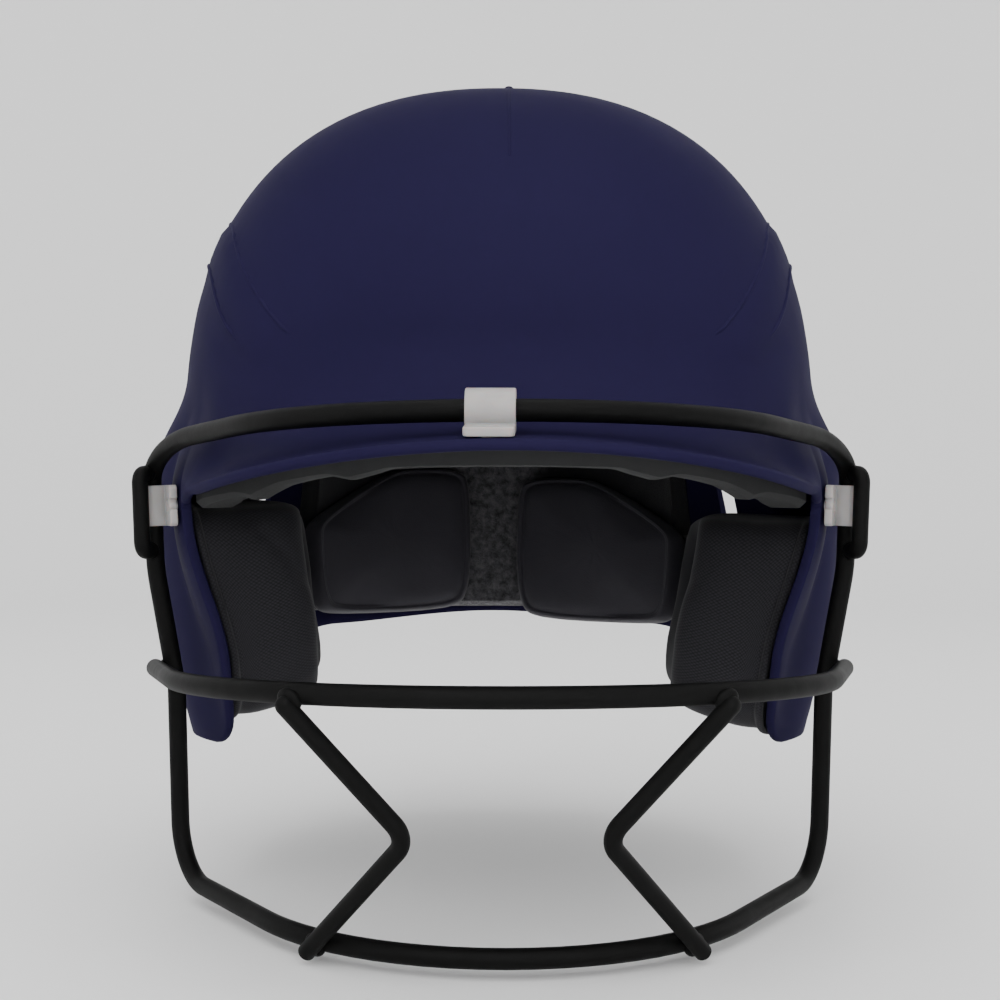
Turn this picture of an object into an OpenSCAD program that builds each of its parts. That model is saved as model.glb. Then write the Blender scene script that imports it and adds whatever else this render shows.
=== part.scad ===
// Softball batting helmet with a wire face cage.
// Axes: +X to the right of a viewer who faces the cage, +Y towards the back of the head, +Z up.
// The origin is midway between the ears, level with the screws of the two temple clips.
// Places on the shell are given by an angle from the front, positive to +X, and a height.

/* [Shell] */
// Width of the dome at its widest
dome_w = 220; // [210:1:230]
// Length of the dome ahead of the origin
dome_front = 122; // [114:1:130]
// Length of the dome behind the origin
dome_back = 128; // [120:1:136]
// Height of the crown above the origin
crown_h = 144; // [136:0.5:152]
// Thickness of the moulded wall
wall_t = 3.2; // [2.6:0.1:4]
// How far the ear sections stand out beyond the dome
ear_bulge = 11.5; // [8:0.5:14]
// How far the brim stands out beyond the dome at the temples
temple_flare = 7.5; // [5:0.5:9]
// Depth of the ear flaps below the origin
flap_drop = 81; // [75:1:87]
// Depth of the back rim below the origin
nape_drop = 46; // [41:1:51]
// How far the flaps lean in towards the jaw at their lower edge
rim_tuck = 13.5; // [10:0.5:17]
// Radius of the ear opening in each flap
ear_hole_r = 14; // [10:0.5:17]
// Length of each vent slot behind the ears
vent_l = 26; // [18:1:32]
// Width of each vent slot
vent_w = 8; // [6:0.5:10]

/* [Bill] */
// How far the bill stands out in front of the dome
bill_l = 64; // [56:1:70]
// Height of the bill's front edge above the origin
bill_z = 13.5; // [11:0.5:16]
// How much lower the bill's ends are than its middle
bill_droop = 13.5; // [10:0.5:17]
// Slope of the bill's upper face at its edge
bill_slope = 4; // [2:1:9]

/* [Liner] */
// Thickness of the die-cut foam liner
liner_t = 8; // [6:0.5:10]
// Thickness of the two pads at the back of the head
back_pad_t = 14; // [11:0.5:17]
// Thickness of the crown pad
crown_pad_t = 9; // [6:0.5:12]
// Thickness of each ear pad at its front
ear_pad_t = 31; // [27:1:35]
// Radius of the ear recess through each ear pad
ear_recess_r = 19; // [15:0.5:22]
// Thickness of the hook and loop patches that hold the ear pads
patch_t = 2; // [1.5:0.1:3]
// Gap left between one soft piece and what it is stuck to
seat_gap = 0.45; // [0.3:0.05:0.6]

/* [Cage] */
// Diameter of the coated wire in the hoop and the bars
wire_d = 6; // [5:0.1:6.6]
// Diameter of the coated wire in the cheek bars and the temple loops
thin_wire_d = 5.2; // [4.6:0.1:5.8]
// Depth that a weld sets one wire into the other
weld_set = 0.4; // [0.2:0.1:0.7]
// Radius of the hoop's curve along the bill
brow_bow_r = 88; // [84:1:94]
// Length of the bend at each temple, along the bill
temple_bend_l = 40; // [30:1:44]
// Depth of the same bend, down the hoop's leg
temple_bend_h = 12; // [9:0.5:12.5]
// How far the middle bar stands out in front of the origin
bar_reach = 182; // [174:1:190]
// Depth of the middle bar below the origin, at its middle
bar_drop = 48.7; // [44:0.1:53]
// Radius of the middle bar's curve
bar_bow_r = 102; // [96:1:106]
// How far the chin bar stands out in front of the origin
chin_reach = 143; // [136:1:150]
// Depth of the chin bar below the origin
chin_drop = 125; // [118:0.5:132]
// Radius of the chin bar's curve
chin_bow_r = 83; // [78:1:87]
// Distance between the hoop's legs at their foot
jaw_w = 212; // [206:1:218]
// Distance between the corners of the two cheek bars
cheek_gap = 53; // [44:1:62]
// Height of each temple loop, between the axes of its feet
loop_h = 25; // [23:0.5:28]
// How far each temple loop stands out from the axis of the leg
loop_reach = 10; // [9.6:0.1:11.5]

/* [Clips] */
// Width of each moulded clip along its wire
clip_w = 13.2; // [11:0.1:14]
// Thickness of a clip's strap
strap_t = 2.5; // [2:0.1:2.8]
// Length of a clip's flange, from its wire to its end
flange_l = 15; // [14:0.5:16]
// Distance from a clip's screw to its wire
screw_reach = 9.1; // [8.9:0.1:9.6]
// How far the bill clip sits to one side of the middle
bill_clip_x = -4.5; // [-6:0.5:6]
// Radius of the clip screws
screw_r = 2; // [1.6:0.1:2.3]
// Play around each clipped wire
wire_play = 0.3; // [0.26:0.01:0.4]
// Play around each screw
screw_play = 0.15; // [0.1:0.05:0.25]

/* [Hidden] */

navy = [0.13, 0.13, 0.25];
foam_grey = [0.25, 0.26, 0.25];
knit_black = [0.12, 0.12, 0.14];
wire_black = [0.09, 0.09, 0.09];
nylon = [0.72, 0.70, 0.69];
steel = [0.62, 0.62, 0.64];

function ramp(t) = let (c = min(1, max(0, t))) c * c * (3 - 2 * c);
function unit(v) = v / norm(v);
function mix(a, b, t) = a * (1 - t) + b * t;
function signed_pow(v, p) = sign(v) * pow(abs(v), p);

// The dome: superellipses in plan and in height
widest_z = 22;
dome_pow = 2.43;
plan_pow = 2.2;

function shrink(z) = z <= widest_z ? 1 :
    pow(max(0, 1 - pow((z - widest_z) / (crown_h - widest_z), dome_pow)), 1 / dome_pow);
function plan_r(a) = 1 / pow(pow(abs(sin(a)) / (dome_w / 2), plan_pow)
    + pow(abs(cos(a)) / (cos(a) > 0 ? dome_front : dome_back), plan_pow), 1 / plan_pow);
function tuck(z) = rim_tuck * pow(max(0, widest_z - z) / (widest_z + flap_drop), 2.2);
function dome_r(a, z) = plan_r(a) * shrink(z) - tuck(z);

// The brim's flare at the temples and the ear sections' bulge behind it
flare_a = [44, 54, 58, 84];    // angles where the flare starts, is full, starts to fade and ends
flare_z = [32, 4, -4, -52];    // heights where it does the same
ear_a = [60, 84, 108, 146];
ear_z = [44, 12];
function off_front(a) = acos(cos(a));
function flare(a, z) = temple_flare
    * ramp((off_front(a) - flare_a[0]) / (flare_a[1] - flare_a[0]))
    * ramp((flare_a[3] - off_front(a)) / (flare_a[3] - flare_a[2]))
    * ramp((flare_z[0] - z) / (flare_z[0] - flare_z[1]))
    * ramp((z - flare_z[3]) / (flare_z[2] - flare_z[3]));
function bulge(a, z) = ear_bulge
    * ramp((off_front(a) - ear_a[0]) / (ear_a[1] - ear_a[0]))
    * ramp((ear_a[3] - off_front(a)) / (ear_a[3] - ear_a[2]))
    * ramp((ear_z[0] - z) / (ear_z[0] - ear_z[1]));
function wall_r(a, z) = dome_r(a, z) + max(bulge(a, z), flare(a, z));

// A point of the outer face, the outward direction there, and a point inside at a depth
function face(a, z) = [wall_r(a, z) * sin(a), -wall_r(a, z) * cos(a), z];
function outward(a, z) = unit(cross(face(a + 1, z) - face(a - 1, z), face(a, z + 1) - face(a, z - 1)));
function inside(a, z, depth) = face(a, z) - outward(a, z) * depth;

// The same for the plain dome, which the head side of the padding follows
function bare(a, z) = [dome_r(a, z) * sin(a), -dome_r(a, z) * cos(a), z];
function bare_out(a, z) = unit(cross(bare(a + 1, z) - bare(a - 1, z), bare(a, z + 1) - bare(a, z - 1)));
function head_side(a, z, depth) = bare(a, z) - bare_out(a, z) * depth;

// The bill
crease_z = 52;                  // height where the forehead starts to turn out into the bill
temple_a = 56;                  // angle of the corner where bill and flap meet
temple_z = bill_z - bill_droop; // height of that corner
bill_root_y = -20;              // middle of the superellipse that the bill's edge follows
bill_pow = 2.25;
temple = face(temple_a, temple_z);
bill_reach = dome_front + bill_l + bill_root_y;
corner_t = acos(pow(-(temple[1] - bill_root_y) / bill_reach, bill_pow / 2));
bill_half_w = temple[0] / pow(sin(corner_t), 2 / bill_pow);

function edge_z(x) = bill_z + wall_t - bill_droop * pow(abs(x) / temple[0], 1.9);
function bill_edge(share) = let (t = corner_t * abs(share), x = bill_half_w * pow(sin(t), 2 / bill_pow),
        z = mix(edge_z(x), temple_z, ramp((abs(share) - 0.85) / 0.15)))
    [share < 0 ? -x : x, bill_root_y - bill_reach * pow(cos(t), 2 / bill_pow), z];

// Its upper face runs from the forehead, in a curve, out to its edge, and at the temple corner it
// becomes the face of the flap
function bezier(p, t) = p[0] * pow(1 - t, 3) + p[1] * 3 * t * pow(1 - t, 2) + p[2] * 3 * t * t * (1 - t)
    + p[3] * pow(t, 3);
bill_blend = 16;                // angle over which the bill's sides turn into the flaps' faces
function bill_curve(a) = let (top = face(a, crease_z), end = bill_edge(a / temple_a),
        run = [end[0] - top[0], end[1] - top[1], 0], rise = norm(run) * tan(bill_slope),
        down = unit(face(a, crease_z - 1) - top))
    [top, top + down * (crease_z - end[2] - rise * 0.6) * 0.7, end - run * 0.5 + [0, 0, 0.5 * rise], end];
function flap_like(a, t) = let (end = bill_edge(a / temple_a), z = mix(crease_z, end[2], t))
    face(a, z) + (end - face(a, end[2])) * t * t;
function bill_face(a, t) = mix(bezier(bill_curve(a), t), flap_like(a, t),
    ramp((abs(a) - temple_a + bill_blend) / bill_blend));

// The rim of a flap and of the nape, as [angle, height], from the temple corner at 0 to the back at 5
front_a = 54;                   // angle of the flap's front edge where it starts to round
front_z = -38;                  // its height there
tip_a = 70;                     // angle of its lowest point
rear_a = 98;                    // angle where its lower edge starts to rise
rise_a = 146;                   // angle where it meets the nape
function flap_rim(s) =
    s < 1 ? [mix(temple_a, front_a, s), mix(temple_z, front_z, s)] :
    s < 2 ? [tip_a - (tip_a - front_a) * cos((s - 1) * 90),
        front_z - (flap_drop + front_z) * sin((s - 1) * 90)] :
    s < 3 ? [mix(tip_a, rear_a, s - 2), -flap_drop] :
    s < 4 ? [mix(rear_a, rise_a, s - 3), mix(-flap_drop, -nape_drop - 4, ramp(s - 3))] :
    [mix(rise_a, 180, s - 4), -nape_drop - 4 + 4 * ramp(s - 4)];

// The shell's grid: columns from the crown to the edge, over the bill and then round each flap
bill_cols = 14;
rim_stretch = [6, 6, 4, 8, 5];
rim_s = [for (k = [0:4], i = [1:rim_stretch[k]]) k + i / rim_stretch[k]];
rim_n = len(rim_s);
upper_rows = 9;
lower_rows = 11;
lowest_phi = asin(pow((crease_z - widest_z) / (crown_h - widest_z), dome_pow / 2));

function dome_point(a, row) = let (phi = 90 - (90 - lowest_phi) * row / upper_rows)
    face(a, widest_z + (crown_h - widest_z) * pow(sin(phi), 2 / dome_pow));
function bill_column(a) = concat([for (j = [1:upper_rows]) dome_point(a, j)],
    [for (j = [1:lower_rows]) bill_face(a, j / lower_rows)]);
function rim_column(a, s) = let (low = flap_rim(s), side = sign(a)) concat(
    [for (j = [1:upper_rows]) dome_point(a, j)],
    [for (j = [1:lower_rows]) let (t = j / lower_rows)
        face(side * mix(abs(a), low[0], t), mix(crease_z, low[1], t))]);
function rim_a(i) = temple_a + (180 - temple_a) * (i + 1) / rim_n;
shell_cols = concat(
    [for (i = [-bill_cols:bill_cols]) bill_column(temple_a * i / bill_cols)],
    [for (i = [0:rim_n - 1]) rim_column(rim_a(i), rim_s[i])],
    [for (i = [rim_n - 2:-1:0]) rim_column(-rim_a(i), rim_s[i])]);

// Rings of the outer face, then of the inner face back up to the crown
function shell_rings() = let (n = len(shell_cols), m = len(shell_cols[0]), crown = [0, 0, crown_h],
        at = function(i, j) j < 0 ? crown : shell_cols[(i + n) % n][j],
        normal = function(i, j) unit(cross(at(i + 1, j) - at(i - 1, j),
            at(i, j - 1) - at(i, min(j + 1, m - 1)))))
    concat([for (j = [0:m - 1]) [for (i = [n - 1:-1:0]) at(i, j)]],
        [for (j = [m - 1:-1:0]) [for (i = [n - 1:-1:0]) at(i, j) - normal(i, j) * wall_t]]);

// A closed solid through rings of equal length, closed by a point at each end
module ring_solid(rings, first, last) {
    n = len(rings[0]);
    m = len(rings);
    points = concat([first], [for (r = rings) each r], [last]);
    function at(j, i) = 1 + j * n + i % n;
    faces = concat(
        [for (i = [0:n - 1]) [0, at(0, i), at(0, i + 1)]],
        [for (j = [0:m - 2], i = [0:n - 1]) each [[at(j, i), at(j + 1, i), at(j + 1, i + 1)],
            [at(j, i), at(j + 1, i + 1), at(j, i + 1)]]],
        [for (i = [0:n - 1]) [n * m + 1, at(m - 1, i + 1), at(m - 1, i)]]);
    polyhedron(points, faces, convexity = 10);
}
function middle(ring) = [for (k = [0:2]) [for (p = ring) p[k]] * [for (p = ring) 1] / len(ring)];
module capped_solid(rings) {
    ring_solid(rings, middle(rings[0]), middle(rings[len(rings) - 1]));
}

// Puts +Z along a direction, with +X as near to another as it can be
module aim(place, up, along) {
    z = unit(up);
    y = unit(cross(z, along));
    x = cross(y, z);
    multmatrix([[x[0], y[0], z[0], place[0]], [x[1], y[1], z[1], place[1]],
        [x[2], y[2], z[2], place[2]], [0, 0, 0, 1]]) children();
}
module both_sides() {
    children();
    mirror([1, 0, 0]) children();
}

// Places of the three clips, each as [place on the shell, outward, towards the flange's end, wire]
loop_r = wire_d / 2 + wire_play + strap_t;
clip_gap = 0.2;                 // gap left between a clip's flange and the shell
seat = loop_r + clip_gap;       // height of a clipped wire's axis above the shell
leg_a = 63;                     // angle where each leg of the hoop passes the shell
leg_lean = 2.4;                 // turn of the flange with the shell, towards its front edge
leg_lift = 0.25;                // more room below that flange, because the shell is crowned
leg_foot = face(leg_a, 0) + outward(leg_a, 0) * leg_lift;
leg_way = unit(face(leg_a, clip_w / 2) - face(leg_a, -clip_w / 2));
leg_in = unit(cross(outward(leg_a - leg_lean, 0), leg_way));
leg_out = cross(leg_way, leg_in);
leg = leg_foot + leg_out * seat;
clip_t = 0.83;                  // share of the bill's upper face at the hoop
brow_foot = bill_face(0, clip_t);
flange_t = clip_t + flange_l / norm(bill_face(0, clip_t + 0.01) - brow_foot) * 0.01;
forward = unit(bill_face(0, flange_t) - brow_foot);
brow_up = cross(forward, [1, 0, 0]);
brow = brow_foot + brow_up * seat;
bill_clip_turn = asin(bill_clip_x / brow_bow_r);
bill_clip_back = 0.1;           // how far it is pulled back on its wire
bill_clip_out = [bill_clip_x, brow_bow_r * (1 - cos(bill_clip_turn)) + bill_clip_back, 0];
clip_forward = unit(cross([cos(bill_clip_turn), sin(bill_clip_turn), 0], brow_up));

// A wire's path runs through corner points, and each corner is rounded from one setback before it to
// another after it: in a circle's arc where the two are equal
function way(p, i) = unit(p[i + 1] - p[i]);
function turn(p, i) = acos(way(p, i - 1) * way(p, i));
function arc_back(p, i, r) = r * tan(turn(p, i) / 2) * [1, 1];
function bend(p, i, backs, steps) = let (w = cos(turn(p, i) / 2),
        from = p[i] - way(p, i - 1) * backs[0], to = p[i] + way(p, i) * backs[1])
    [for (k = [0:steps]) let (t = k / steps, s = 1 - t)
        (from * s * s + p[i] * 2 * w * s * t + to * t * t) / (s * s + 2 * w * s * t + t * t)];

// A wire along such a path. Its ends are rounded, or flat across a seam where another wire goes on.
wire_sides = 14;
end_round = [[0, 0.62], [0.12, 0.9], [0.3, 1]];    // at each share of the diameter, share of the radius
module wire(points, backs, steps, d, seam = undef) {
    last = len(points) - 1;
    tips = is_undef(seam) ? end_round : [[0, 1]];
    body = [for (i = [1:last - 1]) each bend(points, i, backs[i - 1], steps[i - 1])];
    path = concat([for (e = tips) [points[0] + way(points, 0) * e[0] * d, e[1]]],
        [for (p = body) [p, 1]],
        [for (k = [len(tips) - 1:-1:0])
            [points[last] - way(points, last - 1) * tips[k][0] * d, tips[k][1]]]);
    n = len(path);
    function heading(i) = i == 0 ? (is_undef(seam) ? way(points, 0) : seam)
        : i == n - 1 ? (is_undef(seam) ? way(points, last - 1) : [seam[0], -seam[1], -seam[2]])
        : unit(unit(path[i + 1][0] - path[i][0]) + unit(path[i][0] - path[i - 1][0]));
    function level(v, i) = unit(v - heading(i) * (v * heading(i)));
    start = abs(heading(0)[2]) > 0.8 ? [0, 1, 0] : [0, 0, 1];
    sides = [for (i = 0, u = level(start, 0); i < n; i = i + 1, u = i < n ? level(u, i) : u) u];
    capped_solid([for (i = [0:n - 1]) let (u = sides[i], v = cross(heading(i), u), r = path[i][1] * d / 2)
        [for (k = [0:wire_sides - 1]) let (t = k * 360 / wire_sides)
            path[i][0] + (u * cos(t) + v * sin(t)) * r]]);
}

// A bar that bows forward: its middle is at y = tip with a radius r, and it runs straight on to end.
// Gives the angle through which each half bends and the y where the two straight runs would meet.
function bow_turn(end, tip, r) = let (dy = end[1] - tip - r)
    atan2(end[0], -dy) - acos(r / norm([end[0], dy]));
function bow_apex(end, tip, r) = tip + r - r / cos(bow_turn(end, tip, r));

// The hoop's legs, from the temple down past the middle bar, and on to the jaw
tilt = 0.042;                   // rise of the hoop's plane for each millimetre forward
chin_tilt = 0.02;               // the same for the chin bar, which falls forward
bar_tilt = 0.042;               // and for the middle bar
function flip(p) = [-p[0], p[1], p[2]];
function hoop_z(y) = brow[2] - (y - brow[1]) * tilt;
function chin_z(y) = -chin_drop + (y + chin_reach) * chin_tilt;
function bar_z(y) = -bar_drop - (y + bar_reach) * bar_tilt;
knee_back = 5;                  // how far each leg's knee lies behind the temple clip
knee_out = 0.8;                 // how far it stands out beyond the foot of the leg
knee_below = 11;                // its depth below the middle bar
jaw_back = 5;                   // how far the foot lies behind the knee
knee = [jaw_w / 2 + knee_out, leg[1] + knee_back, -bar_drop - knee_below];
jaw = [jaw_w / 2, knee[1] + jaw_back, chin_z(knee[1] + jaw_back)];
function leg_at(z) = leg + leg_way * (z - leg[2]) / leg_way[2];
elbow_below = 8;                // depth of its upper bend below the temple loop's foot
elbow = leg_at(-loop_h / 2 - elbow_below);
elbow_bend_r = 60;
hoop_top = leg_at(hoop_z(leg[1]));
knee_way = unit(unit(elbow - knee) + unit(knee - jaw));
brow_apex = bow_apex(hoop_top, brow[1], brow_bow_r);
chin_apex = bow_apex(jaw, -chin_reach, chin_bow_r);

// The middle bar crosses outside the legs and ends just behind them
bar_end_l = 8;
bar_meet = let (p = mix(elbow, knee, (elbow[2] - bar_z(leg[1])) / (elbow[2] - knee[2])))
    [p[0] + wire_d - weld_set, p[1], p[2]];
bar_turn = bow_turn(bar_meet, -bar_reach, bar_bow_r);
bar_apex = bow_apex(bar_meet, -bar_reach, bar_bow_r);
bar_end = bar_meet + [cos(bar_turn), sin(bar_turn), -bar_tilt] * bar_end_l;
function bow_point(a, reach, r, z) = let (y = r - reach - r * cos(a)) [r * sin(a), y, z];

// Where a cheek bar is welded outside another bar, whose axis passes a point in a direction
function weld_at(place, way, toward) = let (n = unit(cross(way, toward - place)),
        out = n * [place[0], place[1] + dome_front / 2, 0] < 0 ? -n : n)
    place + out * ((wire_d + thin_wire_d) / 2 - weld_set);
cheek_a = 33;                   // angle along the middle bar's curve where a cheek bar starts
chin_a = 39;                    // angle along the chin bar's curve where it ends
cheek_back = 25;                // how far a cheek bar's corner lies behind the middle bar's front
cheek_below = 2.6;              // its depth below the level midway between the two bars
cheek_corner = [cheek_gap / 2, -bar_reach + cheek_back, -(bar_drop + chin_drop) / 2 - cheek_below];
cheek_top = weld_at(bow_point(cheek_a, bar_reach, bar_bow_r,
    bar_z(-bar_reach + bar_bow_r * (1 - cos(cheek_a)))), [cos(cheek_a), sin(cheek_a), 0], cheek_corner);
cheek_foot = weld_at(bow_point(chin_a, chin_reach, chin_bow_r,
    chin_z(-chin_reach + chin_bow_r * (1 - cos(chin_a)))), [cos(chin_a), sin(chin_a), 0], cheek_corner);
cheek_bend_r = 8;
stub_l = 5;                     // how far a cheek bar runs past its welds

module shell() {
    color(navy) difference() {
        ring_solid(shell_rings(), [0, 0, crown_h], [0, 0, crown_h - wall_t]);
        both_sides() ear_bore(ear_hole_r);
        both_sides() vent();
        each_screw() screw_bore();
    }
}

// The ear opening, level with the wearer's ear
ear_y = 12;
ear_hole_z = -30;
module ear_bore(r) {
    translate([0, ear_y, ear_hole_z]) rotate([0, 90, 0]) cylinder(h = dome_w, r = r, $fn = 64);
}

// A slot behind each ear section, leaning back at its top
vent_a = 129;
vent_z = 4;
module vent() {
    aim(face(vent_a, vent_z), outward(vent_a, vent_z), [0, 0.4, 1])
        translate([0, 0, -liner_t]) linear_extrude(2 * liner_t) {
            square([vent_l - vent_w, vent_w], center = true);
            for (side = [-1, 1])
                translate([side * (vent_l - vent_w) / 2, 0]) circle(d = vent_w, $fn = 32);
        }
}

// The clips' screws: countersunk heads flush with the shell's inner face, threads in the flange
head_r = 1.7 * screw_r;
head_edge = 0.4;                // straight edge of a screw's head
head_h = head_edge + head_r - screw_r;
screw_short = 0.6;              // how far its end stays inside the flange
screw_l = wall_t + clip_gap + strap_t - screw_short;
socket_r = 0.6 * screw_r;
socket_h = 0.6 * head_h;
module each_screw() {
    aim(brow_foot + bill_clip_out + clip_forward * screw_reach, brow_up, clip_forward) children();
    both_sides() aim(leg_foot + leg_in * screw_reach, leg_out, leg_in) children();
}
module screw_shape(play, below) {
    rotate_extrude($fn = 48) polygon([[0, -below], [head_r + play, -below], [head_r + play, head_edge],
        [screw_r + play, head_h + play], [screw_r + play, screw_l + below], [0, screw_l + below]]);
}
module screw_bore() {
    translate([0, 0, -wall_t]) screw_shape(screw_play, wall_t);
}
module clip_screws() {
    color(steel) each_screw() translate([0, 0, -wall_t]) difference() {
        screw_shape(0, 0);
        translate([0, 0, -1]) cylinder(h = 1 + socket_h, r = socket_r, $fn = 6);
    }
}

// A clip: a strap round the wire, along Z here, whose flange runs out along +X on the shell below and
// has a rounded end
end_r = 1.8;                    // rounding of the flange's corners
module clip_body() {
    translate([0, 0, -clip_w / 2]) difference() {
        linear_extrude(clip_w) difference() {
            union() {
                circle(r = loop_r, $fn = 64);
                translate([0, -loop_r]) square([flange_l, strap_t]);
            }
            circle(r = wire_d / 2 + wire_play, $fn = 64);
        }
        translate([screw_reach, 0, clip_w / 2]) rotate([90, 0, 0])
            cylinder(h = 2 * loop_r, r = screw_r + screw_play, $fn = 32);
        for (up = [0, 1]) translate([flange_l, 0, up * clip_w]) rotate([90, 0, 0])
            linear_extrude(2 * loop_r) difference() {
                square(2 * end_r, center = true);
                translate([-end_r, (1 - 2 * up) * end_r]) circle(r = end_r, $fn = 32);
            }
    }
}

module bill_clip() {
    color(nylon) aim(brow + bill_clip_out, cross(brow_up, clip_forward), clip_forward)
        mirror([0, 1, 0]) clip_body();
}

// The temple clips have a half round notch in the flange's end as well
notch_r = 1.7;
notch_up = 0.6;                 // its place above the middle of the clip
module temple_clip_right() {
    color(nylon) aim(leg, leg_way, leg_in) difference() {
        clip_body();
        translate([flange_l, 0, notch_up]) rotate([90, 0, 0])
            cylinder(h = 2 * loop_r, r = notch_r, $fn = 32);
    }
}

module temple_clip_left() {
    mirror([1, 0, 0]) temple_clip_right();
}

hoop_points = [knee, elbow, hoop_top, [0, brow_apex, hoop_z(brow_apex)], flip(hoop_top), flip(elbow),
    flip(knee)];
hoop_backs = let (side = arc_back(hoop_points, 1, elbow_bend_r), bow = arc_back(hoop_points, 3, brow_bow_r))
    [side, [temple_bend_h, temple_bend_l], bow, [temple_bend_l, temple_bend_h], side];
module brow_hoop() {
    color(wire_black) wire(hoop_points, hoop_backs, [3, 8, 18, 8, 3], wire_d, knee_way);
}
jaw_bend_r = 18;
module chin_bar() {
    points = [knee, jaw, [0, chin_apex, chin_z(chin_apex)], flip(jaw), flip(knee)];
    color(wire_black) wire(points, [arc_back(points, 1, jaw_bend_r), arc_back(points, 2, chin_bow_r),
        arc_back(points, 3, jaw_bend_r)], [8, 18, 8], wire_d, -knee_way);
}
module middle_bar() {
    points = [bar_end, [0, bar_apex, bar_z(bar_apex)], flip(bar_end)];
    color(wire_black) wire(points, [arc_back(points, 1, bar_bow_r)], [20], wire_d);
}
module cheek_bar_right() {
    points = [cheek_top + unit(cheek_top - cheek_corner) * stub_l / 2, cheek_corner,
        cheek_foot + unit(cheek_foot - cheek_corner) * stub_l];
    color(wire_black) wire(points, [arc_back(points, 1, cheek_bend_r)], [8], thin_wire_d);
}
module cheek_bar_left() {
    mirror([1, 0, 0]) cheek_bar_right();
}

// A loop welded to the hoop above and below the temple clip, which its strap passes through. Each
// foot ends where it is set into the hoop's wire.
loop_way = unit([0.22, -0.975, 0]);
loop_bend_r = 3.2;
loop_z = -2.4;                  // middle of each loop's height
temple_path = concat([elbow], bend(hoop_points, 2, hoop_backs[1], 16));
function off_segment(p, a, b) = let (t = min(1, max(0, (p - a) * (b - a) / ((b - a) * (b - a)))))
    norm(p - a - (b - a) * t);
function off_path(p, path) = min([for (i = [0:len(path) - 2]) off_segment(p, path[i], path[i + 1])]);
foot_gap = 0.6;                 // how much less than a weld's depth the middle of a rounded foot is set in
function foot_at(corner) = [for (back = [loop_reach - wire_d / 2:-0.1:0]) let (p = corner - loop_way * back)
    if (off_path(p, temple_path) > wire_d / 2 - weld_set + foot_gap) p][0];
module temple_loop_right() {
    upper = leg_at(loop_z + loop_h / 2) + loop_way * loop_reach;
    lower = leg_at(loop_z - loop_h / 2) + loop_way * loop_reach;
    points = [foot_at(upper), upper, lower, foot_at(lower)];
    color(wire_black) wire(points, [for (i = [1, 2]) arc_back(points, i, loop_bend_r)], [5, 5],
        thin_wire_d);
}
module temple_loop_left() {
    mirror([1, 0, 0]) temple_loop_right();
}

// A strip of padding between two angles. Each ring is a section across the strip: its outer side
// follows the shell's inner face and its inner side the head, at a thickness t.
edge_round = 1.5;               // rounding of a strip's inner edges
strip_steps = 5;                // points down each side of a section
module strip(angles, top, low, base, t) {
    capped_solid([for (a = angles) let (hi = top(a), lo = low(a)) concat(
        [for (k = [0:strip_steps]) inside(a, mix(hi, lo, k / strip_steps), base)],
        [head_side(a, lo + edge_round / 2, base + t - edge_round)],
        [for (k = [0:strip_steps - 1]) head_side(a, mix(lo + edge_round * 1.5, hi - edge_round * 1.5,
            k / (strip_steps - 1)), base + t)],
        [head_side(a, hi - edge_round / 2, base + t - edge_round)])]);
}
liner_base = wall_t + seat_gap;

// The brow pad hangs down behind the bill. Its lower edge keeps just below the bill's edge and is cut
// in two scallops on each side, whose depths are given at angles from the front.
brow_a = 54;
brow_top = 64;
brow_low = 11;
brow_step = 2;
scallops = [[17, 0], [19, 1], [23, 2.4], [26.5, 0.5], [36, 1], [38, 1.6], [42.5, 3], [46, 0.4], [52, 0]];
module brow_pad() {
    low = function(a) brow_low - bill_droop * pow(abs(a) / temple_a, 2.6) - lookup(abs(a), scallops);
    color(foam_grey) strip([for (a = [-brow_a:brow_step:brow_a]) a], function(a) brow_top, low,
        liner_base, liner_t);
}

bump_gap = 0.46;                // more room where the shell turns from hollow to bulging

// The side liners run over the ears, between the brow pad and the nape liner
nape_a = 122;                   // angle where the nape liner starts
side_a = [55, nape_a - 4];
side_top = 56;
side_low = 8;
module side_liner_right() {
    color(foam_grey) strip([for (a = [side_a[0]:3.5:side_a[1]]) a], function(a) side_top,
        function(a) side_low - 3 * cos((a - 86) * 2.8), liner_base + bump_gap, liner_t);
}
module side_liner_left() {
    mirror([1, 0, 0]) side_liner_right();
}

// The nape liner, with a face of loop fabric that carries the two back pads. Its ends are low wings
// that pass below the vents.
nape_top = 48;
wing_a = [136, 142];            // angles between which it rises from the wing to its full height
wing_gap = 4;                   // distance from a wing to the vent above it
nape_gap = 1.6;                 // distance from its lower edge to the shell's rim
module nape_liner() {
    color(knit_black) strip([for (a = [nape_a:4:360 - nape_a]) a],
        function(a) mix(nape_top, vent_z - vent_l / 2 - wing_gap,
            ramp((abs(a - 180) - 180 + wing_a[1]) / (wing_a[1] - wing_a[0]))),
        function(a) nape_gap - nape_drop, liner_base, liner_t);
}

// The crown pad: a disc of foam, thinner towards its edge
crown_cols = 32;
crown_a = 66;                   // how far down the dome it reaches, on a scale of 90
module crown_pad() {
    function crown_z(share) = widest_z
        + (crown_h - widest_z) * pow(sin(90 - crown_a * share), 2 / dome_pow);
    function ring(share, depth) = [for (i = [0:crown_cols - 1]) head_side(-i * 360 / crown_cols,
        crown_z(share), depth)];
    color(foam_grey) ring_solid([for (s = [0.25:0.25:1]) ring(s, liner_base),
        for (s = [1, 0.97]) ring(s * 0.99, liner_base + crown_pad_t * (1.6 - s)),
        for (s = [0.9:-0.2:0.1]) ring(s, liner_base + crown_pad_t)],
        [0, 0, crown_h - liner_base], [0, 0, crown_h - liner_base - crown_pad_t]);
}

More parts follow.
